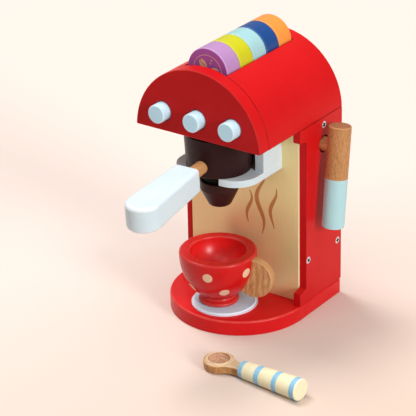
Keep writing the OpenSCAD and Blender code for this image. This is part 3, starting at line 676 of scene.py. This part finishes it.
CROSS_L, CROSS_W, CROSS_DEEP = 2.1, 0.8, 1.5
SHANK, SHANK_R, SCREW_HEAD_R, SCREW_HEAD_T, SCREW_TOP = 20.0, 1.7, 3.35, 1.9, 0.3
SCREW_SEAT, FIRST_SPIN, NEXT_SPIN = 64.55, 20, 31
arm = [(CROSS_L, -CROSS_W), (CROSS_L, CROSS_W), (CROSS_W, CROSS_W)]
cross = arm + [(-y, x) for x, y in arm] + [(-x, -y) for x, y in arm] + [(y, -x) for x, y in arm]
screw_shape = slotted(rounded([
    (0, -SHANK), (SHANK_R, -SHANK, 0.8), (SHANK_R, -SCREW_HEAD_T), (SCREW_HEAD_R, -0.25),
    (SCREW_HEAD_R, 0.1, 0.12), (SCREW_HEAD_R - 0.4, SCREW_TOP)], 4, False), cross, CROSS_DEEP)
# The inside of each cross recess takes the dark steel: painted shade
for side, name in SIDES:
    for k, (y, z) in enumerate(SIDE_SCREWS):
        place = move(side * SCREW_SEAT, y, z) @ turn(side * 90, "Y") @ turn(FIRST_SPIN + NEXT_SPIN * k, "Z")
        piece(f"screw_{name}_{k + 1}", screw_shape, "machine", [STEEL, SHADED_STEEL], place,
              ["side_screws"], paint=lambda p, n: (
                  max(abs(p.x), abs(p.y)) < CROSS_L + 0.01 and -SCREW_HEAD_T < p.z < SCREW_TOP - 0.05))


# ---- head

BUTTONS = {"left": -BUTTON_PITCH, "middle": 0.0, "right": BUTTON_PITCH}
BUTTON_HOLE_R, LINING_R, FLOOR_TOP = 9.2, 56.7, 191.0
button_holes = [circle(x, BUTTON_Z, BUTTON_HOLE_R, 72, True) for x in BUTTONS.values()]
front = prism([half_round(HALF_W, corner=1.2)] + button_holes, HEAD_FRONT, FASCIA_BACK, 0.9, 0.7, 4)
# Faces that look to the front take the darker red, painted shade; rims and faces further back keep the plain
# red
piece("front_plate", front, "machine", [RED_FRONT_SHADED, RED], ALONG_Y, ["fascia_plate"],
      paint=lambda p, n: abs(n.y) < 0.3 or p.z > HEAD_FRONT + 2)


def cover_shape():
    """Bent cover with its slot, as a grid of cells over the arc and the depth, inside and outside."""
    slot_turn = asin(SLOT_HALF_W / HALF_W)
    end_turn = acos((HEAD_Z - HEAD_AXIS_Z) / HALF_W)
    side_cells, top_cells = 44, 24
    turns = [-end_turn + (end_turn - slot_turn) * k / side_cells for k in range(side_cells)]
    turns += [-slot_turn + 2 * slot_turn * k / top_cells for k in range(top_cells)]
    turns += [slot_turn + (end_turn - slot_turn) * k / side_cells for k in range(side_cells + 1)]
    ys = [FASCIA_BACK, 0.0, SLOT_BACK, BACK]

    def at(turn_, depth):
        """The slot's walls and the cover's foot stay upright and level all through its thickness."""
        radius = HALF_W - depth
        size = abs(turn_)
        slot, end = asin(SLOT_HALF_W / radius), acos((HEAD_Z - HEAD_AXIS_Z) / radius)
        if size <= slot_turn:
            new = size / slot_turn * slot
        else:
            new = slot + (size - slot_turn) / (end_turn - slot_turn) * (end - slot)
        new = copysign(new, turn_)
        return radius * sin(new), HEAD_AXIS_Z + radius * cos(new)

    points, index, faces = [], {}, []
    for layer, depth in enumerate((0.0, COVER_T)):
        for i, t in enumerate(turns):
            for j, y in enumerate(ys):
                x, z = at(t, depth)
                index[layer, i, j] = len(points)
                points.append(Vector((x, y, z)))
    cells = {(i, j) for i in range(len(turns) - 1) for j in range(len(ys) - 1)
             if not (side_cells <= i < side_cells + top_cells and j < 2)}
    for i, j in cells:
        ring = [(i, j), (i + 1, j), (i + 1, j + 1), (i, j + 1)]
        faces.append(tuple(index[0, a, b] for a, b in ring))
        faces.append(tuple(index[1, a, b] for a, b in ring[::-1]))
        for (a, b), beside in zip(zip(ring, ring[1:] + ring[:1]), ((0, -1), (1, 0), (0, 1), (-1, 0))):
            if (i + beside[0], j + beside[1]) not in cells:
                faces.append((index[0, *b], index[0, *a], index[1, *a], index[1, *b]))
    used = sorted({i for face in faces for i in face})
    new = {old: k for k, old in enumerate(used)}
    return [points[i] for i in used], [tuple(new[i] for i in face) for face in faces]


piece("cover", cover_shape(), "machine", RED, replaced=["head_cover"], soft=0.8)
piece("back_plate", prism([half_round(LINING_R, FLOOR_TOP)], REAR_FRONT, BACK, 0.5, 0.8), "machine",
      RED, ALONG_Y, ["head_back_plate"])


# ---- capsules

def bean(cx, cy, length, width, tilt, gap, furrow_steps=14, rim_steps=20):
    """Two halves of a coffee bean with a curved furrow between them."""
    spin = Matrix.Rotation(radians(tilt), 2)
    furrow = [Vector((0.12 * width * sin(pi * 2 * t), (t - 0.5) * length)) for t in
              [k / furrow_steps for k in range(furrow_steps + 1)]]
    halves = []
    for side in (-1, 1):
        rim = [Vector((side * width / 2 * cos(a), length / 2 * sin(a))) for a in
               [pi / 2 - pi * k / rim_steps for k in range(1, rim_steps)]]
        line = [p + Vector((side * gap / 2, 0)) for p in furrow[1:-1]]
        halves.append(wound([spin @ p + Vector((cx, cy)) for p in line + rim]))
    return halves


PRINT_T = 0.06


def print_shape(groups):
    """Thin flat shapes, one for each group of loops, as one."""
    return joined([prism(loops, 0, PRINT_T, 0, PRINT_T * 0.6, 2) for loops in groups])


# Print on a capsule: a ring, three beans about a dot, and two dots between each two beans
RING_R, RING_W, MIDDLE_DOT_R, DOT_R, DOT_REACHES = 14.6, 0.5, 0.9, 0.75, (8.2, 11.2)
BEAN_ANGLES, BEAN_REACH, BEAN_L, BEAN_W, BEAN_GAP = (128, 248, 8), 7.4, 9.6, 6.8, 0.8
groups = [[circle(0, 0, RING_R + RING_W / 2, 72), circle(0, 0, RING_R - RING_W / 2, 72, True)]]
for angle in BEAN_ANGLES:
    halves = bean(*polar(BEAN_REACH, angle), BEAN_L, BEAN_W, angle - 90, BEAN_GAP)
    groups += [[half] for half in halves]
    groups += [[circle(*polar(reach, angle - 60), DOT_R, 20)] for reach in DOT_REACHES]
groups.append([circle(0, 0, MIDDLE_DOT_R, 20)])
pod_print = print_shape(groups)
pod_shape = spun([(POD_R, 0, 1.2), (POD_R, POD_T, 1.2)], 112, 6)
for i, (slot, light, deep, edge, face, tint) in enumerate(CAPSULES):
    number, body = i + 1, f"pod_{i + 1}"
    coat = lacquer(f"capsule {number} lacquer", light, deep, 0.4, 0.4, GRAIN_X, edge, 0.35, turned=GRAIN_Y)
    face_look = lacquer(f"capsule {number} face", face, face, 0.45, 0.15)
    print_look = lacquer(f"capsule {number} print", tint, tint, 0.45, 0.1)
    place = move(0, FIRST_POD_BACK + i * POD_STEP, POD_Z) @ TO_FRONT
    piece(f"capsule_{number}", pod_shape, body, [coat, face_look], place, [body],
          paint=lambda p, n: p.z > POD_T - 0.2)
    piece(f"capsule_{number}_print", pod_print, body, print_look, place @ move(0, 0, POD_T))


# ---- buttons

TAIL_L, TAIL_R, COLLAR_BACK, COLLAR_R, COLLAR_T = 18.8, 3, -46.2, 10.5, 3
# Length of a button from the back of its collar to its face, its radius, and a groove around it
BUTTON_FACE, BUTTON_R, GROOVE, GROOVE_HALF, GROOVE_R = 26.3, 8.4, 6.0, 0.2, 8.25
button_shape = spun([
    (TAIL_R, -TAIL_L, 0.5), (TAIL_R, 0, 0.4), (COLLAR_R, 0, 0.4), (COLLAR_R, COLLAR_T, 0.4),
    (BUTTON_R, COLLAR_T, 0.3), (BUTTON_R, BUTTON_FACE - GROOVE - GROOVE_HALF, 0.2),
    (GROOVE_R, BUTTON_FACE - GROOVE, 0.2), (BUTTON_R, BUTTON_FACE - GROOVE + GROOVE_HALF, 0.2),
    (BUTTON_R, BUTTON_FACE, 1.1)], 80)
for name, x in BUTTONS.items():
    piece(f"push_button_{name}", button_shape, f"button_{name}", BUTTON_PALE,
          move(x, COLLAR_BACK, BUTTON_Z) @ TO_FRONT, [f"button_{name}"])


# ---- fork and filter

FORK_HALF, NECK_SLOT, PRONG_END, PRONG_R, MOUTH_ROUND = 41.0, 14.6, -54, 23, 1.4
CHEEK_INNER, CHEEK_FRONT = 31.5, -22
fork_outline = (
    rounded([(0, PANEL_FRONT), (-FORK_HALF, PANEL_FRONT, 0.4), (-FORK_HALF, PRONG_END, PRONG_R),
             (-NECK_SLOT, PRONG_END, MOUTH_ROUND), (-NECK_SLOT, SEAT_Y)], 14, False)
    + arc(0, SEAT_Y, NECK_SLOT, 180, 0, 40)[1:]
    + rounded([(NECK_SLOT, SEAT_Y), (NECK_SLOT, PRONG_END, MOUTH_ROUND), (FORK_HALF, PRONG_END, PRONG_R),
               (FORK_HALF, PANEL_FRONT, 0.4), (0, PANEL_FRONT)], 14, False)[1:-1])
piece("fork", prism([fork_outline], FORK_BOTTOM, FORK_TOP, 0.7, 0.5, 4), "machine", PALE,
      replaced=["fork_plate"])
for side, name in SIDES:
    low, high = sorted((side * CHEEK_INNER, side * FORK_HALF))
    cheek = rounded([(low, CHEEK_FRONT, 0.7), (high, CHEEK_FRONT, 0.7), (high, PANEL_FRONT, 0.4),
                     (low, PANEL_FRONT, 0.4)], 4)
    piece(f"cheek_{name}", prism([cheek], FORK_TOP, HEAD_Z, 0.15, 0.4), "machine", PALE,
          replaced=[f"fork_cheek_{name}"])

FILTER_TURN, HANDLE_Z, HANDLE_DIP = -87, 160.4, 4.5
AT_FILTER = move(0, SEAT_Y, 0) @ turn(FILTER_TURN, "Z")
AT_HANDLE = AT_FILTER @ move(0, 0, HANDLE_Z) @ turn(HANDLE_DIP, "Y")
ALONG_HANDLE = AT_HANDLE @ TO_RIGHT
FILTER_R, FILTER_TOP_R, FILTER_TOP, FILTER_HOLLOW_R, FILTER_FLOOR = 28.8, 30.8, 184, 21.3, 163.8
DOWEL_R, DOWEL_START, DOWEL_END, DOWEL_HOLE_R = 6, 21.8, 73.5, 6.25
PIVOT_R, PIVOT_TOP = 5, 155.5
filter_shape = spun([
    (FILTER_R, FORK_TOP, 1.2), (FILTER_TOP_R, FILTER_TOP, 1.0),
    (FILTER_HOLLOW_R, FILTER_TOP, 0.6), (FILTER_HOLLOW_R, FILTER_FLOOR, 1.0)], 128)
dowel_hole = (rod(DOWEL_HOLE_R, 21, 48), ALONG_HANDLE)
pivot_hole = (rod(PIVOT_R + 0.1, FORK_TOP - 1, PIVOT_TOP + 0.3), AT_FILTER)
piece("filter_holder", filter_shape, "filter", BROWN, AT_FILTER, ["filter_cup"],
      [dowel_hole, pivot_hole])
SPOUT_BOTTOM, SPOUT_SHOULDER, SPOUT_TOP, NECK_TOP = 112, 128.6, 137.0, 147.7
MOUTH_R, SPOUT_R, SPOUT_NECK_R = 9.7, 17.6, 14.2
spout_shape = spun([
    (MOUTH_R, SPOUT_BOTTOM, 3.8), (SPOUT_R, SPOUT_SHOULDER, 2.0), (SPOUT_R, SPOUT_TOP, 1.2),
    (SPOUT_NECK_R, SPOUT_TOP, 0.3), (SPOUT_NECK_R, NECK_TOP, 0.3), (PIVOT_R, NECK_TOP, 0.2),
    (PIVOT_R, PIVOT_TOP, 0.3)], 96)
# The neck above the shoulder takes the near-black paint: painted shade
piece("spout_cone", spout_shape, "spout", [MAROON, NECK_SHADE], AT_FILTER,
      ["filter_spout"], paint=lambda p, n: p.z > SPOUT_TOP - 0.3)
piece("dowel", pin(DOWEL_R, DOWEL_START, DOWEL_END), "filter", DOWEL_WOOD, ALONG_HANDLE,
      ["filter_dowel"])

HANDLE_START, HANDLE_L = 48.5, 85.5
NEAR_W, FAR_W, NEAR_H, FAR_H = 25.3, 31.7, 22.3, 24.4
far_r = FAR_W / 2
far_x = HANDLE_L - far_r
handle_outline = (
    rounded([(far_x, far_r), (0, NEAR_W / 2, 5.0), (0, -NEAR_W / 2, 5.0), (far_x, -far_r)], 7, False)
    + arc(far_x, 0, far_r, -90, 90, 40)[1:-1])
handle_shape = prism([handle_outline], -FAR_H / 2, FAR_H / 2, 3.6, 3.6, 7)
for p in handle_shape[0]:
    p.z *= (NEAR_H + (FAR_H - NEAR_H) * p.x / HANDLE_L) / FAR_H
handle_hole = (rod(DOWEL_HOLE_R, 40, DOWEL_END + 0.1), ALONG_HANDLE)
piece("handle", handle_shape, "filter", PALE, AT_HANDLE @ move(HANDLE_START, 0, 0),
      ["filter_handle"], [handle_hole])


# ---- lever

GRIP_R, GRIP_OVER, GRIP_UNDER, GRIP_TILT, PAINT_FROM, PAINT_T = 10.25, 20.0, 74.0, -7, 28.0, 0.12
PEG_R, PEG_START, PEG_END = 6.5, -22.3, -2.0
bare_r = GRIP_R - PAINT_T
lever_shape = spun([
    (GRIP_R, -GRIP_UNDER, 1.3), (GRIP_R, -PAINT_FROM, 0.1),
    (bare_r, -PAINT_FROM + PAINT_T, 0.05), (bare_r, GRIP_OVER, 1.0)], 96)
AT_PEG = move(*PEG) @ TO_RIGHT
peg_hole = (rod(PEG_R + 0.1, -20, PEG_END + 0.1), AT_PEG)
piece("lever", lever_shape, "lever", [LEVER_WOOD, AQUA, LEVER_END],
      move(*PEG) @ turn(GRIP_TILT, "X"), ["lever_grip"], [peg_hole],
      paint=lambda p, n: 1 if p.z < -PAINT_FROM + 0.05 else 2 if p.z > GRIP_OVER - 0.1 else 0)
piece("peg", pin(PEG_R, PEG_START, PEG_END), "lever", PEG_WOOD_RED_BOUNCE, AT_PEG, ["lever_peg"])


# ---- toy cup

CUP_R, CUP_H, OPEN_R, RIM_LOW, CUP_TURN = 35.0, 49.8, 25.4, 46, 10
BOWL_TOP, BOWL_DEPTH, WAIST_TURN = 47.3, 45.5, 65.0
HOLLOW_TOP, HOLLOW_DEPTH = 48.3, 25.4
EAR_OUT, EAR_LIFT, EAR_R, EAR_HALF_T = 35.5, 28.8, 18.5, 4
AT_CUP = move(-3.2, SEAT_Y, BASE_T + TRAY_T) @ turn(CUP_TURN, "Z")


def cup_wall(turn_):
    """Radius and height on the outside of the bowl; 0 is at the rim and 90 would be its lowest point."""
    t = radians(turn_)
    return CUP_R * cos(t), BOWL_TOP - BOWL_DEPTH * sin(t)


foot = [(0, 0), (16.9, 0), (17.9, 0.35), (18.3, 1.1), (18.25, 2.0), (17.6, 2.9), (16.6, 3.7), (15.6, 4.5),
        (14.95, 5.3), (14.75, 6.0)]
bowl = [cup_wall(WAIST_TURN - WAIST_TURN * k / 40) for k in range(1, 41)]
rim = rounded([(CUP_R, RIM_LOW), (CUP_R, CUP_H, 2.0), (OPEN_R, CUP_H, 1.5), (OPEN_R, RIM_LOW)],
              7, False)[1:-1]
hollow = [(OPEN_R * cos(t), HOLLOW_TOP - HOLLOW_DEPTH * sin(t)) for t in
          [pi / 2 * k / 40 for k in range(1, 40)]]
hollow.append((0, HOLLOW_TOP - HOLLOW_DEPTH))
# The hollow takes the lighter red: painted light
piece("cup", lathe(foot + bowl + rim + hollow, 160), "cup", [CUP_RED, CUP_INSIDE_LIT], AT_CUP,
      ["cup_bowl"], paint=lambda p, n: off_axis(p) < OPEN_R + 0.6 and p.z > 14 and n.z > -0.2)


def dot_shape(angle, wall_turn, radius=4.5, rings=5, steps=36, thick=0.09):
    """Round spot of paint that follows the wall of the cup."""
    mid_r = cup_wall(wall_turn)[0]
    slope = radians(wall_turn)
    rate = hypot(CUP_R * sin(slope), BOWL_DEPTH * cos(slope))

    def at(reach, turn_, lift):
        t = wall_turn + degrees(reach * sin(turn_) / rate)
        a = radians(angle) + reach * cos(turn_) / mid_r
        r, z = cup_wall(t)
        n = Vector((BOWL_DEPTH * cos(radians(t)), -CUP_R * sin(radians(t)))).normalized()
        r, z = r + n.x * lift, z + n.y * lift
        return Vector((r * cos(a), r * sin(a), z))

    points = [at(0, 0, thick)]
    levels = [(radius * k / rings * 0.97, thick) for k in range(1, rings + 1)] + [
        (radius, thick * 0.5), (radius, -0.2)]
    for reach, lift in levels:
        points += [at(reach, 2 * pi * k / steps, lift) for k in range(steps)]
    faces = [(0, 1 + k, 1 + (k + 1) % steps) for k in range(steps)]
    for level in range(len(levels) - 1):
        a, b = 1 + level * steps, 1 + (level + 1) * steps
        faces += [(a + k, b + k, b + (k + 1) % steps, a + (k + 1) % steps) for k in range(steps)]
    faces.append(tuple(range(b, b + steps))[::-1])
    return points, faces


# Two rows of dots: the turn of cup_wall, and the angles about the cup from straight right, which are not
# quite even on the side that the photo shows
DOT_ROWS = ((13.0, (-8.0, 49.0, 106.0, 163.0, 220.0, 288.7)), (37.5, (-44.2, 76.0, 136.0, 190.0, 247.4)))
dots = [dot_shape(angle - CUP_TURN, wall_turn) for wall_turn, angles in DOT_ROWS for angle in angles]
piece("cup_dots", joined(dots), "cup", DOT, AT_CUP)

cup_outside = lathe([(0, -1)] + foot[1:] + bowl + [(CUP_R, CUP_H + 5), (0, CUP_H + 5)], 160)
ear = prism([circle(EAR_OUT, EAR_LIFT, EAR_R, 112)], -EAR_HALF_T, EAR_HALF_T, 0.9, 0.9, 4)
piece("cup_ear", ear, "cup", DISC_WOOD, AT_CUP @ ALONG_Y, ["cup_handle"],
      [(cup_outside, AT_CUP)])


# ---- scoop

AT_SCOOP = move(52.4, -110.5, 0) @ turn(-SCOOP_TURN, "Z")
BOWL_R, NECK_R, NECK_L, FLARE_R, NECK_LOW, NECK_HIGH = 14.0, 5.0, 26.0, 20.0, 1.4, 9.3
HOLLOW_R, HOLLOW_DEEP, SCOOP_H = 9.8, 6.0, 10.0
# Where the neck ends inside the bowl: radius, and turn past the flare
JOIN_R, JOIN_TURN = 12.0, 6
flare_x = sqrt((BOWL_R + FLARE_R) ** 2 - (NECK_R + FLARE_R) ** 2)
flare_turn = degrees(atan2(NECK_R + FLARE_R, flare_x))


def fused(shapes, place, voxel=0.36, rounds=7):
    """One smooth skin over several closed shapes, as a mesh in the frame."""
    lump = new_object("lump", mesh_of("lump", joined(shapes), place))
    skin = lump.modifiers.new("skin", "REMESH")
    skin.mode, skin.voxel_size, skin.use_smooth_shade = "VOXEL", voxel * MM, True
    smooth = lump.modifiers.new("smooth", "SMOOTH")
    smooth.factor, smooth.iterations = 0.5, rounds
    mesh = bpy.data.meshes.new_from_object(lump.evaluated_get(bpy.context.evaluated_depsgraph_get()))
    bpy.data.objects.remove(lump)
    return mesh


dish = [(HOLLOW_R * sin(t), SCOOP_H - HOLLOW_DEEP * cos(t)) for t in
        [pi / 2 * k / 14 for k in range(13, 0, -1)]]
scoop_bowl = lathe(
    rounded([(0, 0), (BOWL_R - 1, 0, 1.6), (BOWL_R + 0.1, SCOOP_H, 1.1), (HOLLOW_R + 0.3, SCOOP_H, 0.7),
             dish[0]], 5, False) + dish[1:] + [(0, SCOOP_H - HOLLOW_DEEP)], 80)
neck_outline = (
    [Vector((NECK_L + 0.8, -NECK_R)), Vector((NECK_L + 0.8, NECK_R))]
    + arc(flare_x, NECK_R + FLARE_R, FLARE_R, 270, 180 + flare_turn, 8)
    + arc(0, 0, JOIN_R, flare_turn + JOIN_TURN, -flare_turn - JOIN_TURN, 16)
    + arc(flare_x, -NECK_R - FLARE_R, FLARE_R, 180 - flare_turn, 90, 8))
neck = prism([neck_outline], NECK_LOW, NECK_HIGH, 1.2, 1.2)
# The dish has its own wood in painted light and shade, upward faces of the top take a paler copy as painted
# light, and the rest the plain wood
piece("scoop", fused([scoop_bowl, neck], AT_SCOOP), "scoop",
      [SCOOP_WOOD, HOLLOW_LIGHT_SHADE_WOOD, SCOOP_LIT_TOP], AT_SCOOP, ["scoop_bowl"], paint=lambda p, n: (
          1 if off_axis(p) < HOLLOW_R + 0.1 and 3 < p.z < SCOOP_H - 0.6
          else 2 if n.z > 0.55 and p.z > 8 else 0))

THIN_R, THICK_R, SCOOP_GRIP_L, LAST_RING = 7.6, 9.8, 63.5, 62.13
GRIP_END = SCOOP_GRIP_L - 0.1
climb = degrees(asin((THICK_R - THIN_R) / SCOOP_GRIP_L))
BANDS = ((0.0, 5.0), (18.0, 23.4), (37.8, 42.8), (57.2, 62.1))


def grip_radius(s):
    return THIN_R + (THICK_R - THIN_R) * s / (SCOOP_GRIP_L - 2)


grip = [(0, 0.05), (THIN_R - 0.8, 0.05), (THIN_R - 0.25, 0.3), (THIN_R, 0.9)]
for s in sorted({s for band in BANDS for s in band if s > 0}):
    grip += [(grip_radius(s), s - 0.05), (grip_radius(s), s + 0.05)]
grip += rounded([(grip_radius(LAST_RING), LAST_RING), (THICK_R, GRIP_END, 1.3), (0, GRIP_END)], 5, False)
piece("scoop_handle", lathe(grip, 80), "scoop", [CREAM, SKY],
      AT_SCOOP @ move(NECK_L, 0, THIN_R) @ turn(90 - climb, "Y"), ["scoop_grip"],
      paint=lambda p, n: any(a < p.z < b for a, b in BANDS))


# ---- print on the column

def ribbon(line, widths):
    """Outline of a ribbon that follows a line and changes its width."""
    left, right = [], []
    for i, p in enumerate(line):
        along = (line[min(i + 1, len(line) - 1)] - line[max(i - 1, 0)]).normalized()
        side = Vector((-along.y, along.x)) * widths[i] / 2
        left.append(p + side)
        right.append(p - side)
    return wound(right + left[::-1])


def steam(x, low, high, sway, widest, phase, turns, least=0.9, steps=44):
    """Wavy ribbon that is thickest at its middle."""
    line, widths = [], []
    for k in range(steps + 1):
        t = k / steps
        line.append(Vector((x + sway * sin(2 * pi * turns * t + phase) * (0.5 + 0.5 * t),
                            low + (high - low) * t)))
        widths.append(least + (widest - least) * sin(pi * t) ** 1.2)
    return ribbon(line, widths)


steam_lines = [[steam(18, 72, 130, 5.6, 4.6, 0.4, 1.15)], [steam(31, 80, 120, 4.2, 3.8, 2.5, 0.95)],
               [steam(5, 80, 112, 3.8, 3.4, 3.5, 0.9)]]
piece("panel_print", print_shape(steam_lines), "machine", SWIRL,
      move(0, PANEL_FRONT, 0) @ ON_FRONT)


# ---- CAD pieces that keep their shape

KEPT = (
    (INNER_WOOD, ("top_rail", "head_floor", "pod_cradle", "button_guide", "cradle_rib")),
    (DOWEL_WOOD, ("fork_pins", "cup_handle_pin")),
    (STEEL, ("base_screws", "head_screws", *(f"button_spring_{name}" for name in BUTTONS), "lever_washer",
             "lever_screw")),
)
for look, nodes in KEPT:
    for node in nodes:
        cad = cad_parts[node]
        cad.data.materials.clear()
        cad.data.materials.append(look)


# ---- floor, light and camera

def stage_floor():
    """Wide round floor with painted shade that darkens it towards the front right, and a little darker where
    it only lights the toy.
    """
    radius, steps = 9000.0, 96
    points = [Vector((0, 0, 0))] + [Vector((*p, 0)) for p in circle(0, 0, radius, steps)]
    faces = [(0, 1 + k, 1 + (k + 1) % steps) for k in range(steps)]
    floor = new_object("floor", mesh_of("floor", (points, faces), Matrix()))
    net = Net("floor")
    split = net.add("SeparateXYZ", {0: net.place})
    shade_slant = net.math("SUBTRACT", net.times(split.outputs["Y"], 0.5),
                     net.times(split.outputs["X"], 1.2))
    # Painted shade: the floor darkens towards the front right
    tone = net.ramp(shade_slant, -0.32, 0.2)
    paper = net.noise(900.0, 2.0)
    colour = net.mix(tone, srgb("E0C9BA"), srgb("ECDCD4"))
    colour = net.mix(net.ramp(paper, 0.3, 0.7, 0.0, 0.03), colour, srgb("E8D0C4"))
    rays = net.add("LightPath").outputs
    seen = net.math("MAXIMUM", rays["Is Camera Ray"], rays["Is Glossy Ray"])
    colour = net.mix(seen, srgb("BCAEA6"), colour)
    net.set(Base_Color=colour, Roughness=0.9, Specular_IOR_Level=0.1)
    floor.data.materials.append(net.owner)


def light_world():
    """Soft light, brightest above and behind, and a plain backdrop past the floor."""
    net = Net("studio", True)
    bpy.context.scene.world = net.owner
    toward = net.add("VectorMath", {0: net.place, 1: (-0.3, 0.55, 0.78)}, operation="DOT_PRODUCT")
    net.set(Color=srgb("FFFAF4"), Strength=net.ramp(toward.outputs["Value"], -0.7, 0.9, 0.08, 0.5))
    seen = net.add("Background", {"Color": srgb("FCF2EA"), "Strength": 1.0})
    rays = net.add("LightPath").outputs
    choose = net.add("MixShader", {0: rays["Is Camera Ray"], 1: net.shader.outputs[0], 2: seen.outputs[0]})
    net.fill(net.tree.nodes["World Output"].inputs["Surface"], choose.outputs[0])


def sun(name, toward, strength, spread):
    """Parallel light that comes from the direction toward, seen from the toy."""
    data = bpy.data.lights.new(name, "SUN")
    data.energy, data.angle = strength, radians(spread)
    obj = new_object(name, data)
    obj.rotation_mode = "QUATERNION"
    obj.rotation_quaternion = Vector(toward).to_track_quat("Z", "Y")


stage_floor()
light_world()
sun("high light from the left", (-0.42, 0.06, 0.9), 1.8, 24)
sun("side light from the right", (0.93, -0.27, 0.33), 1.85, 18)
sun("soft light from above", (0.15, -0.34, 0.93), 0.8, 50)

TARGET = Vector((1.030, -50.676, 115.364))
AZIMUTH, ELEVATION, ROLL = 0.62526637, 0.44400569, -0.0219977
DISTANCE = 1853.772
FOCAL_PIXELS, FRAME_PIXELS, SENSOR = 2121.368, 416, 36.0
back = Vector((sin(AZIMUTH) * cos(ELEVATION), -cos(AZIMUTH) * cos(ELEVATION), sin(ELEVATION)))
right = (-back).cross(Vector((0, 0, 1))).normalized()
up = right.cross(-back)
spin_c, spin_s = cos(ROLL), sin(ROLL)
right, up = right * spin_c + up * spin_s, up * spin_c - right * spin_s
camera = new_object("camera", bpy.data.cameras.new("camera"))
camera.data.sensor_width = SENSOR
camera.data.lens = FOCAL_PIXELS / FRAME_PIXELS * SENSOR
camera.data.clip_start, camera.data.clip_end = 0.05, 60
camera.matrix_world = Matrix.Translation((TARGET + back * DISTANCE) * MM) @ Matrix(
    (right, up, back)).transposed().to_4x4()
bpy.context.scene.camera = camera
bpy.context.scene.view_settings.view_transform = "Standard"
